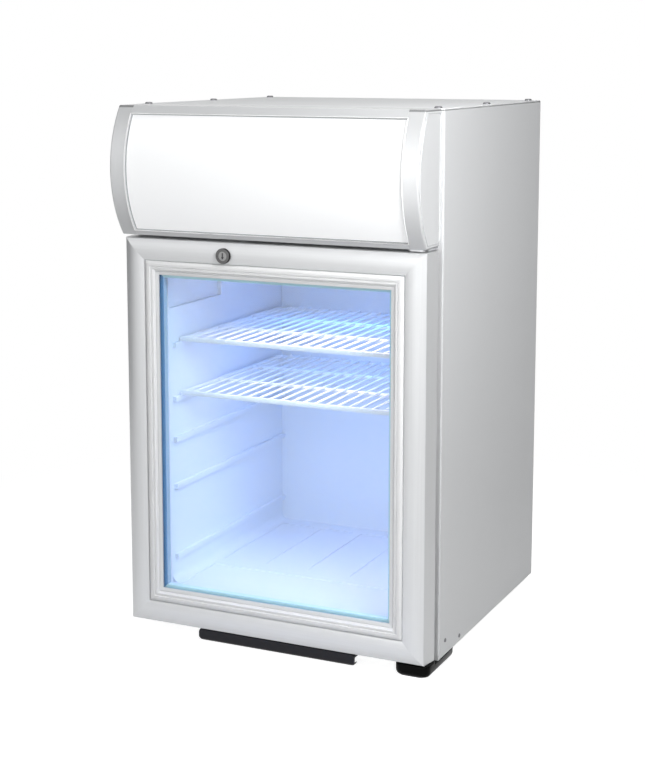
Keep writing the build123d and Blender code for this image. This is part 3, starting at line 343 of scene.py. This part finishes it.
def clear_glass(name):
    """Float glass: green only through its cut edges. Lamps shine straight through it."""
    r = Recipe(name)
    facing = abs(r.axes(r.facing)[1])
    edge = 1.0 - facing.ramp(0.35, 0.8)
    film = r.noise(9.0, 3.0, 0.6)
    tint = r.blend(edge, (0.965, 0.985, 0.985), (0.16, 0.42, 0.46))
    glass = r.principled(Base_Color=tint, Roughness=film.between(0.0, 0.012) + edge * 0.25,
                         IOR=1.45, Transmission_Weight=1.0)
    clear = r.node("ShaderNodeBsdfTransparent", None, {"Color": (0.84, 0.92, 1.0, 1.0)})["BSDF"]
    lamp = r.node("ShaderNodeLightPath")["Is Shadow Ray"]
    return r.surface(r.mixed(lamp, glass, clear))


def spacer_bar(name, front, side):
    """Bar between the panes, pricked with breathing holes; faces turned to the front take the
    darker front colour as painted shade.
    """
    r = Recipe(name)
    x, _, z = r.axes()
    turn = 2 * math.pi / (4 * MM)
    dots = ((x * turn).sine() * (z * turn).sine()).ramp(0.6, 0.85)
    scratch = r.noise(700.0, 3.0, 0.6)
    ahead = (-r.axes(r.facing)[1]).ramp(0.4, 0.8)
    bar = r.blend(dots * 0.25, side, shade(side, 0.6))
    # Painted shade on the faces turned to the front.
    return r.finish(Base_Color=r.blend(ahead, bar, front), Metallic=0.1,
                    Roughness=scratch.between(0.35, 0.5), Normal=r.bump(scratch, 0.00002, 0.3))


def lock_metal(name, face, rim):
    """Plated lock front; faces turned away from the front take the near-black rim colour as
    painted shade and reflection.
    """
    r = Recipe(name)
    turned = r.noise(420.0, 4.0, 0.65)
    wear = r.noise(60.0, 4.0, 0.6)
    ahead = (-r.axes(r.facing)[1]).ramp(0.6, 0.97)
    # Painted shade and reflection on the sides.
    base = r.blend(ahead, rim, r.blend(wear, shade(face, 0.88), shade(face, 1.1)))
    return r.finish(Base_Color=base, Metallic=0.85, Roughness=turned.between(0.26, 0.42),
                    Normal=r.bump(turned, 0.00002, 0.35))


def liner_sheet(name):
    """Vacuum-formed white sheet: smooth, a little satin, faint forming texture."""
    r = Recipe(name)
    fine = r.noise(420.0, 3.0, 0.6)
    soft = r.noise(16.0, 3.0, 0.5)
    base = r.blend(soft * 0.7 + fine * 0.3, (0.80, 0.855, 0.92), (0.85, 0.90, 0.955))
    return r.finish(Base_Color=base, Roughness=fine.between(0.26, 0.36) + soft * 0.05,
                    Normal=r.bump(fine, 0.00004, 0.25, r.bump(soft, 0.0006, 0.2)))


finishes = {
    "lid_silver": powder_coat("lid_silver", (0.88, 0.89, 0.895), 0.0, 0.7,
                              Specular_IOR_Level=0.08),
    # The seam on the side panels and caps is painted shade under the lid's folded edge.
    "side_silver": powder_coat("side_silver", (0.70, 0.71, 0.72), seam_shade=True),
    # edge=0.8: painted shade on the stiles' faces turned to +X.
    "frame_upright": drawn_metal("frame_upright", (0.70, 0.71, 0.72), "Z", edge=0.8),
    "frame_level": drawn_metal("frame_level", (0.71, 0.72, 0.73), "X"),
    # A brighter copy of the frame's and trims' silver for the beads: painted highlight.
    "bead_painted_highlight": moulded("bead_painted_highlight", (0.87, 0.875, 0.88), 0.46, 500.0, 0.000008),
    "seal_grey": moulded("seal_grey", (0.36, 0.37, 0.38), 0.5),
    "screw_dark": metal("screw_dark", (0.20, 0.20, 0.21), 0.4, 700.0),
    # fall below 1 on the trims and caps: painted shade on faces that lean up or down.
    "trim_silver": drawn_metal("trim_silver", (0.69, 0.70, 0.71), "X", fall=0.78),
    "cap_silver": powder_coat("cap_silver", (0.71, 0.72, 0.73), 0.25, 0.4, 0.76, True),
    "canopy_white": lit_canopy("canopy_white"),
    "liner_white": liner_sheet("liner_white"),
    "breaker_white": moulded("breaker_white", (0.88, 0.92, 0.96), 0.3, spread=0.02),
    "foam": moulded("foam", (0.88, 0.80, 0.55), 0.8, 250.0, 0.0004, 0.08),
    "glass": clear_glass("glass"),
    # The first colour of each is painted shade on the front faces; spacer_shaded, the darker and
    # bluer copy for the left bar, is painted shade and reflection.
    "spacer": spacer_bar("spacer", (0.42, 0.68, 0.76), (0.60, 0.80, 0.88)),
    "spacer_shaded": spacer_bar("spacer_shaded", (0.07, 0.24, 0.50), (0.30, 0.45, 0.58)),
    # Ring and plug are plated alike: the ring's darker face is painted shade; both near-black rims
    # are painted shade and reflection.
    "lock_ring": lock_metal("lock_ring", (0.14, 0.14, 0.14), (0.01, 0.01, 0.01)),
    "lock_plug": lock_metal("lock_plug", (0.33, 0.33, 0.33), (0.01, 0.01, 0.01)),
    "gasket": moulded("gasket", (0.24, 0.26, 0.28), 0.55, 900.0, 0.0001, 0.06),
    "black_gloss": moulded("black_gloss", (0.007, 0.007, 0.011), 0.3, 800.0, 0.00005, 0.2,
                           Specular_IOR_Level=0.22),
    "shoe_gloss": moulded("shoe_gloss", (0.002, 0.002, 0.002), 0.2, 300.0, 0.00002, 0.2,
                          Specular_IOR_Level=0.05),
    "black_enamel": moulded("black_enamel", (0.014, 0.014, 0.015), 0.3, 260.0, 0.0001, 0.2, 0.6),
    "zinc": metal("zinc", (0.64, 0.65, 0.67), 0.3, 700.0),
    "galvanised": metal("galvanised", (0.62, 0.64, 0.65), 0.42, 400.0, spangle=True),
    "white_wire": moulded("white_wire", (0.90, 0.93, 0.96), 0.28, 300.0, 0.0001, 0.03, 0.3),
    "rubber_black": moulded("rubber_black", (0.03, 0.03, 0.032), 0.62, 600.0, 0.00012, 0.15),
    "copper": metal("copper", (0.66, 0.34, 0.20), 0.34, 350.0, spread=0.16),
    "bare_aluminium": metal("bare_aluminium", (0.74, 0.75, 0.76), 0.36, 900.0,
                            (1.0, 1.0, 0.05)),
    "black_plastic": moulded("black_plastic", (0.035, 0.035, 0.038), 0.48, 520.0, 0.0001, 0.12),
    "white_plastic": moulded("white_plastic", (0.84, 0.84, 0.82), 0.42),
    "switch_red": moulded("switch_red", (0.50, 0.03, 0.02), 0.22, spread=0.08, coat=0.5),
    "led_board": moulded("led_board", (0.90, 0.90, 0.86), 0.4, 900.0),
    "lamp_lens": lit_lens("lamp_lens"),
}
own_finish = {
    "door_rail_top": "frame_level", "door_rail_bottom": "frame_level",
    "door_stile_left": "frame_upright", "door_stile_right": "frame_upright",
    "canopy_end_cap_left": "cap_silver", "canopy_end_cap_right": "cap_silver",
    "lock_housing": "lock_ring", "lock_plug": "lock_plug",
    "top_panel_screws": "screw_dark", "casing_screws": "screw_dark",
    "top_panel": "lid_silver",
    "side_panel_left": "side_silver", "side_panel_right": "side_silver",
}
slot_of = {p["node"]: p["material_slot"] for p in frame["record"]["subparts"]}

for node_name, piece in frame["nodes"].items():
    piece.data.materials.clear()
    piece.data.materials.append(finishes[own_finish.get(node_name, slot_of[node_name])])


# ---------------------------------------------------------------- making pieces
def placed(name, data):
    """Puts a mesh, curve, lamp or camera in the scene."""
    thing = bpy.data.objects.new(name, data)
    bpy.context.scene.collection.objects.link(thing)
    return thing


def piece_of(name, data, body, finish, slot, *stands_for):
    """Puts a mesh or curve on its body, in its finish and in place of the nodes it stands for."""
    piece = placed(name, data)
    data.materials.append(finishes[finish])
    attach(piece, body)
    if stands_for:
        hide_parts(*stands_for)
    return piece


def mesh_of(name, bm, smooth=True):
    """Turns what was built into a mesh, with its faces outwards."""
    bmesh.ops.recalc_face_normals(bm, faces=bm.faces)
    mesh = bpy.data.meshes.new(name)
    bm.to_mesh(mesh)
    bm.free()
    if smooth:
        mesh.shade_smooth()
    return mesh


def soften(piece, width):
    """Rounds a piece's edges."""
    round_off = piece.modifiers.new("edges", "BEVEL")
    round_off.width, round_off.segments = width, 2
    round_off.limit_method, round_off.angle_limit = "ANGLE", math.radians(30.0)
    round_off.harden_normals = True


def mitred_ring(bm, section, x_reach, z_low, z_high, sides=(0, 1, 2, 3)):
    """Sweeps a closed section of (y, inset from the outer edge) round a rectangle."""
    corners = ((-1, z_low, 1), (1, z_low, 1), (1, z_high, -1), (-1, z_high, -1))
    for side in sides:
        ends = [[bm.verts.new((left * (x_reach - inset), y, z + up * inset))
                 for y, inset in section]
                for left, z, up in (corners[side], corners[(side + 1) % 4])]
        count = len(section)
        for j in range(count):
            k = (j + 1) % count
            bm.faces.new((ends[0][j], ends[1][j], ends[1][k], ends[0][k]))
        bm.faces.new(ends[0])
        bm.faces.new(ends[1])


def rounded_outline(x_span, y_span, radius, inset=0.0, steps=7):
    """Corner-rounded rectangle in plan, drawn in by inset."""
    (x0, x1), (y0, y1) = x_span, y_span
    r = max(radius - inset, 0.4 * MM)
    points = []
    for cx, cy, start in ((x1, y1, 0), (x0, y1, 90), (x0, y0, 180), (x1, y0, 270)):
        mid_x = cx - math.copysign(inset + r, cx - (x0 + x1) / 2)
        mid_y = cy - math.copysign(inset + r, cy - (y0 + y1) / 2)
        for step in range(steps + 1):
            turn = math.radians(start + 90 * step / steps)
            points.append((mid_x + r * math.cos(turn), mid_y + r * math.sin(turn)))
    return points


def quarter(steps):
    """Angles from 0 to 90 degrees in equal steps."""
    return [math.radians(90 * step / steps) for step in range(steps + 1)]


def stacked(bm, layers):
    """Skin over a stack of outlines, each a list of corners, closed at both ends."""
    rows = [[bm.verts.new(corner) for corner in layer] for layer in layers]
    for below, above in zip(rows, rows[1:]):
        for i in range(len(below)):
            k = (i + 1) % len(below)
            bm.faces.new((below[i], below[k], above[k], above[i]))
    bm.faces.new(rows[0])
    bm.faces.new(rows[-1])


def wire_curve(name, paths, radius, closed=False, roundness=3):
    """Round wires along paths of short straight runs, capped at their ends."""
    curve = bpy.data.curves.new(name, "CURVE")
    curve.dimensions = "3D"
    curve.bevel_depth, curve.bevel_resolution = radius, roundness
    curve.use_fill_caps = True
    for path in paths:
        spline = curve.splines.new("POLY")
        spline.points.add(len(path) - 1)
        for point, place in zip(spline.points, path):
            point.co = (*place, 1.0)
        spline.use_cyclic_u = closed
        spline.use_smooth = True
    return curve


def rounded_path(corners, radius, steps=6):
    """A bent wire's line from the first corner to the last, with a soft bend at each between."""
    corners = [Vector(c) for c in corners]
    path = [corners[0]]
    for before, corner, after in zip(corners, corners[1:], corners[2:]):
        start = corner + (before - corner).normalized() * radius
        end = corner + (after - corner).normalized() * radius
        for step in range(steps + 1):
            t = step / steps
            path.append(start * (1 - t) ** 2 + corner * 2 * t * (1 - t) + end * t ** 2)
    return path + [corners[-1]]


# ---------------------------------------------------------------- door
DOOR_DEPTH = 24 * MM
# Stepped glazing bead, in mm: how far before the door's front, how far in from its edge.
BEAD = ((0.6, 27.2), (1.9, 27.9), (2.8, 30.6), (2.6, 33.6), (1.0, 34.0), (1.0, 34.7),
        (1.6, 35.0), (1.5, 37.4), (0.4, 37.8), (-0.4, 39.2), (-2.2, 39.2), (-1.0, 35.0),
        (0.3, 29.0))

door_reach, door_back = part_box("door_rail_top")[1].xy
door_bottom, door_top = (corner.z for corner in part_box("door_stile_left"))
door_front = door_back - DOOR_DEPTH


def add_bead():
    """Stepped bead that holds the outer pane."""
    bm = bmesh.new()
    section = [(door_front - out * MM, inset * MM) for out, inset in BEAD]
    mitred_ring(bm, section, door_reach, door_bottom, door_top)
    # The bead's brighter finish is painted highlight.
    bead = piece_of("glazing_bead", mesh_of("glazing_bead", bm, False), "door", "bead_painted_highlight",
                    "frame_silver")
    soften(bead, 0.22 * MM)


def add_spacer():
    """Bars between the panes, a hair clear of the glass."""
    low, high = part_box("glass_spacer")
    hair, width = 0.15 * MM, 10 * MM
    front, back = low.y + hair, high.y - hair
    section = [(front, 0.0), (front, width), (back, width), (back, 0.0)]
    # The left bar takes the darker copy of the finish: painted shade and reflection.
    for name, sides, finish in (("spacer_bars", (0, 1, 2), "spacer"),
                                ("spacer_bar_left", (3,), "spacer_shaded")):
        bm = bmesh.new()
        mitred_ring(bm, section, high.x, low.z, high.z, sides)
        bar = piece_of(name, mesh_of(name, bm, False), "door", finish, "spacer", "glass_spacer")
        soften(bar, 0.3 * MM)


def add_gasket():
    """Bellows gasket with its folds, between door and cabinet."""
    low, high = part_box("door_gasket")
    width = 10.5
    outer = [(0.1, 0.0), (1.6, 0.0), (3.0, 2.2), (4.2, 0.9), (5.4, 2.4), (6.6, 0.9), (7.4, 0.3),
             (11.2, 0.3), (11.55, 1.0)]
    section = [(low.y + back * MM, inset * MM) for back, inset in outer]
    section += [(low.y + back * MM, (width - inset) * MM) for back, inset in reversed(outer)]
    bm = bmesh.new()
    mitred_ring(bm, section, high.x, low.z, high.z)
    gasket = piece_of("bellows_gasket", mesh_of("bellows_gasket", bm, False), "door", "gasket",
                      "gasket", "door_gasket")
    soften(gasket, 0.25 * MM)


def add_seal_and_shadow_strip():
    """Dark strip along the foot and both sides of the door's back; the lock needs the top. It
    stands partly for a seal lip and partly for the shade in the gap behind the door's edge:
    painted shadow.
    """
    inset, lean, width, hair, thick = 0.3, 0.3, 9.0, 0.1, 4.6
    outline = ((hair, inset), (thick, inset + lean), (thick, inset + width), (hair, inset + width))
    section = [(door_back + back * MM, inward * MM) for back, inward in outline]
    bm = bmesh.new()
    mitred_ring(bm, section, door_reach, door_bottom, door_top, (3, 0, 1))
    seal = piece_of("door_back_seal_and_shadow", mesh_of("door_back_seal_and_shadow", bm, False), "door", "rubber_black",
                    "gasket")
    soften(seal, 0.3 * MM)


def add_grip():
    """Moulded finger pull under the bottom rail, with rounded ends."""
    low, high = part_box("door_grip")
    wall, tray, bend, chamfer, fillet = 2.6 * MM, 2.0 * MM, 4.2 * MM, 1.2 * MM, 1 * MM
    front, back, bottom, top = low.y, high.y, 0.8 * MM, high.z
    bend_y, bend_z, arc = front + bend, bottom + bend, quarter(8)[1:]

    def bent(radius, turns):
        return [(bend_y - radius * math.cos(turn), bend_z - radius * math.sin(turn))
                for turn in turns]

    section = [(back, top), (front + chamfer, top), (front, top - chamfer), (front, bend_z)]
    section += bent(bend, arc)
    section += [(bend_y + 3.4 * MM, bottom), (bend_y + 4.2 * MM, bottom + 0.9 * MM),
                (bend_y + 3.4 * MM, bottom + 1.9 * MM)]
    section += bent(bend - tray, arc[::-1])
    section += [(front + wall, bend_z + fillet), (front + wall, top - wall - fillet),
                (front + wall + fillet, top - wall), (back, top - wall)]

    middle_z, cap_length, cap_share = (bottom + top) / 2, 4 * MM, 0.55
    layers = []
    for end, way in ((low.x, 1), (high.x, -1)):
        rows = []
        for turn in quarter(7):
            x = end + way * cap_length * (1 - math.cos(turn))
            share = cap_share + (1 - cap_share) * math.sin(turn)
            rows.append([(x, y, middle_z + (z - middle_z) * share) for y, z in section])
        layers += rows if way > 0 else rows[::-1]
    bm = bmesh.new()
    stacked(bm, layers)
    grip = piece_of("finger_grip", mesh_of("finger_grip", bm), "door", "black_gloss",
                    "black_gloss", "door_grip")
    grip.data.set_sharp_from_angle(angle=math.radians(40))


def add_keyway_shadow():
    """Black piece set into the key slot, wider towards its foot: painted shadow for the shade in
    the slot's mouth.
    """
    low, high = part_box("lock_plug")
    middle_x, middle_z, y = (low.x + high.x) / 2, (low.z + high.z) / 2, low.y
    outline = ((-0.5, 2.9), (0.5, 2.9), (0.6, -0.4), (1.7, -1.0), (0.9, -2.9), (-0.9, -2.9),
               (-1.7, -1.0), (-0.6, -0.4))
    bm = bmesh.new()
    stacked(bm, [[(middle_x + x * MM, y + back * MM, middle_z + z * MM) for x, z in outline]
                 for back in (0.9, 0.35, -0.06)])
    piece_of("key_slot_shadow", mesh_of("key_slot_shadow", bm, False), "lock_barrel", "black_plastic", "chrome")


add_bead()
add_keyway_shadow()
add_spacer()
add_gasket()
add_seal_and_shadow_strip()
add_grip()


# ---------------------------------------------------------------- hinge foot, shelves, canopy
CANOPY_RADIUS = 131 * MM    # of the silver surround's front
CANOPY_RISE = 2 * MM    # from the middle of the surround up to the line it is bent about


def add_hinge_foot():
    """Glossy moulded shoe over the lower hinge plate; it carries the boss of the pin."""
    low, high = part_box("hinge_bracket_bottom")
    corner, boss_back = 10 * MM, low.y + 31 * MM

    def layer(z, back, inset):
        outline = rounded_outline((low.x, high.x), (low.y, back), corner, inset * MM)
        return [(x, y, z) for x, y in outline]

    bm = bmesh.new()
    stacked(bm, [layer(z * MM, high.y, inset) for z, inset in (
        (0.15, 7.0), (0.5, 4.6), (1.3, 2.6), (2.8, 1.1), (4.8, 0.3), (7.0, 0.0), (10.9, 0.0))])
    stacked(bm, [layer(z, boss_back, inset) for z, inset in (
        (9.9 * MM, 0.05), (high.z - 1.3 * MM, 0.05), (high.z - 0.5 * MM, 0.5), (high.z, 1.8))])
    foot = piece_of("hinge_foot", mesh_of("hinge_foot", bm), "cabinet", "shoe_gloss",
                    "black_enamel", "hinge_bracket_bottom")
    foot.data.set_sharp_from_angle(angle=math.radians(50))


def add_shelf(node, body):
    """Dipped wire shelf: bent rim, front band with round ends, wires welded over both."""
    low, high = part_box(node)
    rim, wire, pitch, corner = 2.5 * MM, 1.5 * MM, 15 * MM, 9 * MM
    edge_x, front_y, back_y = high.x - rim, low.y + 2.6 * MM, high.y - rim
    z_rim, z_wire = low.z + rim, high.z - wire
    rods = [rounded_path([(-edge_x, front_y, z_rim), (-edge_x, back_y, z_rim),
                          (edge_x, back_y, z_rim), (edge_x, front_y, z_rim)], corner)]
    for share in (0.34, 0.68):
        y = low.y + (high.y - low.y) * share
        rods.append([(-edge_x, y, z_rim), (edge_x, y, z_rim)])
    piece_of(node + "_rim", wire_curve(node + "_rim", rods, rim, roundness=4), body, "white_wire",
             "white_wire", node)

    count = int(2 * edge_x / pitch) - 1
    wires = []
    for i in range(count):
        x = (i - (count - 1) / 2) * pitch
        wires.append(rounded_path([(x, low.y + 0.9 * MM, z_wire - 2.2 * MM),
                                   (x, low.y + 1.6 * MM, z_wire), (x, back_y, z_wire)],
                                  0.7 * MM, steps=3))
    piece_of(node + "_wires", wire_curve(node + "_wires", wires, wire), body, "white_wire",
             "white_wire", node)

    half = (high.z - low.z) / 2 - 0.3 * MM
    x_span, z_span = (low.x, high.x), (low.z, low.z + 2 * half)
    layers = []
    for back, inset in ((0.2, 0.45), (0.5, 0.1), (1.0, 0.0), (2.2, 0.0), (2.7, 0.4)):
        outline = rounded_outline(x_span, z_span, half, inset * MM, 8)
        layers.append([(x, low.y + back * MM, z) for x, z in outline])
    bm = bmesh.new()
    stacked(bm, layers)
    piece_of(node + "_band", mesh_of(node + "_band", bm), body, "white_wire", "white_wire", node)


def canopy_axis(cap_low, cap_high):
    """Y and Z of the line that the canopy is bent about."""
    return cap_low.y + CANOPY_RADIUS, (cap_low.z + cap_high.z) / 2 + CANOPY_RISE


def add_cap_rim(side):
    """Raised rim round the end cap's outer face."""
    low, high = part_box("canopy_end_cap_" + side)
    proud, inset, corner = 0.1 * MM, 4.2 * MM, 4 * MM
    x = high.x + proud if side == "right" else low.x - proud
    axis_y, axis_z = canopy_axis(low, high)
    reach = CANOPY_RADIUS - inset
    top, bottom, back = high.z - inset, low.z + inset, high.y - 3.4 * MM
    first, last = (math.asin((z - axis_z) / reach) for z in (bottom, top))
    path = []
    for step in range(25):
        turn = first + (last - first) * step / 24
        path.append((x, axis_y - reach * math.cos(turn), axis_z + reach * math.sin(turn)))
    for z, start in ((top - corner, 90), (bottom + corner, 0)):
        for step in range(5):
            turn = math.radians(start - 22.5 * step)
            path.append((x, back - corner + corner * math.cos(turn), z + corner * math.sin(turn)))
    piece_of("cap_rim_" + side, wire_curve("cap_rim_" + side, [path], 0.75 * MM, True), "cabinet",
             "cap_silver", "trim_silver")


def add_canopy_lines():
    """Bead on the silver surround, brighter than it as painted highlight, and the grey seal inside
    it, both bent like it.
    """
    cap_low, cap_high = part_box("canopy_end_cap_left")
    axis_y, axis_z = canopy_axis(cap_low, cap_high)
    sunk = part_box("canopy_panel")[0].y - cap_low.y
    upper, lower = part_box("canopy_top_trim")[0].z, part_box("canopy_bottom_trim")[1].z
    for name, slack, depth, radius, finish, slot in (
            ("canopy_bead", 0.7 * MM, -0.1 * MM, 0.7 * MM, "bead_painted_highlight", "trim_silver"),
            ("canopy_seal", -0.6 * MM, sunk - 0.1 * MM, 0.55 * MM, "seal_grey", "gasket")):
        reach, top, bottom = CANOPY_RADIUS - depth, upper + slack, lower - slack
        edge = slack - cap_high.x
        path = []
        for x, start, end in ((-edge, bottom, top), (edge, top, bottom)):
            for step in range(33):
                z = start + (end - start) * step / 32
                path.append((x, axis_y - math.sqrt(reach ** 2 - (z - axis_z) ** 2), z))
        piece_of(name, wire_curve(name, [path], radius, True), "cabinet", finish, slot)


def add_dial_marks():
    """Ring of printed marks round the dial, each wider than the last towards the cold end."""
    low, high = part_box("thermostat_dial")
    box_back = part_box("control_box")[1].y
    centre_x, centre_z = (low.x + high.x) / 2, (low.z + high.z) / 2
    inner, outer, sunk, proud = 14.6 * MM, 17.2 * MM, 0.1 * MM, 0.12 * MM
    bm = bmesh.new()
    for i in range(7):
        turn = math.radians(240 - 50 * i)
        cosine, sine = math.cos(turn), math.sin(turn)
        half = (0.3 + 0.12 * i) * MM
        outline = [(centre_x - cosine * out + sine * along, centre_z + sine * out + cosine * along)
                   for out, along in ((inner, -half * 0.6), (outer, -half), (outer, half),
                                      (inner, half * 0.6))]
        stacked(bm, [[(x, y, z) for x, z in outline] for y in (box_back - sunk, box_back + proud)])
    piece_of("dial_marks", mesh_of("dial_marks", bm, False), "cabinet", "white_plastic",
             "white_plastic")


add_canopy_lines()
add_dial_marks()
add_hinge_foot()
add_shelf("shelf_lower", "lower_shelf")
add_shelf("shelf_upper", "upper_shelf")
add_cap_rim("left")
add_cap_rim("right")


# ---------------------------------------------------------------- camera, lamps and floor
def add_camera():
    """Stands off to the right and a little above, and looks slightly down."""
    lens = bpy.data.cameras.new("camera")
    eye = placed("camera", lens)
    yaw, pitch = math.radians(25.038), math.radians(8.388)
    eye.location = (0.8344, -1.8314, 0.7123)
    eye.rotation_euler = (math.pi / 2 - pitch, 0.0, yaw)
    lens.lens, lens.shift_y = 74.66, -0.125
    lens.clip_start, lens.clip_end = 0.02, 60.0
    bpy.context.scene.camera = eye


def softbox(name, place, target, width, height, power, colour=(1.0, 1.0, 1.0)):
    """Soft rectangular lamp, itself out of sight."""
    lamp = bpy.data.lights.new(name, "AREA")
    lamp.shape, lamp.size, lamp.size_y = "RECTANGLE", width, height
    lamp.energy, lamp.color = power, colour
    box = placed(name, lamp)
    box.visible_camera = box.visible_transmission = False
    box.location, box.rotation_mode = place, "QUATERNION"
    box.rotation_quaternion = (Vector(target) - Vector(place)).to_track_quat("-Z", "Y")
    return box


def add_world():
    """White to the eye and in reflections, a plain level on the surfaces."""
    r = Recipe("studio", bpy.data.worlds.new("studio"))
    plain, white = (
        r.node("ShaderNodeBackground", None, {"Color": opaque(colour), "Strength": level})
        for colour, level in (((0.95, 0.97, 1.0), 0.06), ((1.0, 1.0, 1.0), 1.0)))
    shown = r.mixed(r.looked_at(), plain["Background"], white["Background"])
    bpy.context.scene.world = r.surface(shown, "ShaderNodeOutputWorld")


def flat_card(name, *corners):
    """One flat face through four corners."""
    mesh = bpy.data.meshes.new(name)
    mesh.from_pydata(corners, [], [(0, 1, 2, 3)])
    return placed(name, mesh)


def add_floor():
    """White floor: it takes the object's shadow close by and fades to the backdrop's white."""
    reach = 14.0
    floor = flat_card("floor", (-reach, -reach, 0), (reach, -reach, 0), (reach, reach, 0),
                      (-reach, reach, 0))
    r = Recipe("floor")
    away = r.node("ShaderNodeVectorMath", {"operation": "LENGTH"}, {0: r.place})["Value"]
    near = r.node("ShaderNodeAddShader", None, {0: r.matt(0.46), 1: r.glow(0.88)})["Shader"]
    shown = r.mixed(away.ramp(0.35, 0.85), near, r.glow(1.0))
    floor.data.materials.append(r.surface(r.mixed(r.looked_at(), r.matt(0.4), shown)))


def add_flag(name, x, y_near, y_far, top, level):
    """Upright dark card beside the object, seen only in the metal's reflections."""
    flag = flat_card(name, (x, y_near, 0), (x, y_far, 0), (x, y_far, top), (x, y_near, top))
    r = Recipe(name)
    flag.data.materials.append(r.surface(r.glow(level)))
    flag.visible_camera = flag.visible_diffuse = flag.visible_shadow = False
    flag.visible_transmission = False


def add_cavity_lamps():
    """Two lamps in the top of the cavity: a clear one by the lens, a cool one behind it."""
    low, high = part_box("lamp_lens")
    for name, behind, colour, power, spread in (
            ("cavity_cool", 0.14, (0.10, 0.31, 1.0), 0.35, 125.0),
            ("cavity_clear", 0.02, (1.0, 0.80, 0.98), 0.25, 105.0)):
        x, y, z = 0.02, high.y + behind, low.z - 3 * MM
        glow = softbox(name, (x, y, z), (x, y + 1 * MM, 0.0), 0.2, 0.07, power, colour)
        glow.data.spread = math.radians(spread)


middle = (cad_box[0] + cad_box[1]) / 2
add_camera()
add_world()
add_floor()
add_flag("flag_right", 1.5, -2.2, 1.0, 1.6, 0.16)
add_flag("flag_left", -1.5, -1.5, 0.8, 1.5, 0.1)
softbox("front", (0.15, -2.3, 0.95), middle, 1.2, 1.0, 12.3)
softbox("left", (-2.1, -1.9, 1.6), middle, 1.6, 1.8, 9.0)
softbox("top", (-0.1, 0.2, 2.9), middle, 2.6, 2.6, 28.0)
softbox("right", (0.66, -0.60, 0.84), (0.2, -0.05, 0.40), 0.35, 0.5, 7.0)
rear = softbox("rear", (-1.2, 2.6, 0.5), middle, 2.0, 0.9, 34.0)
rear.visible_glossy = False
add_cavity_lamps()
bpy.context.scene.view_settings.view_transform = "Standard"
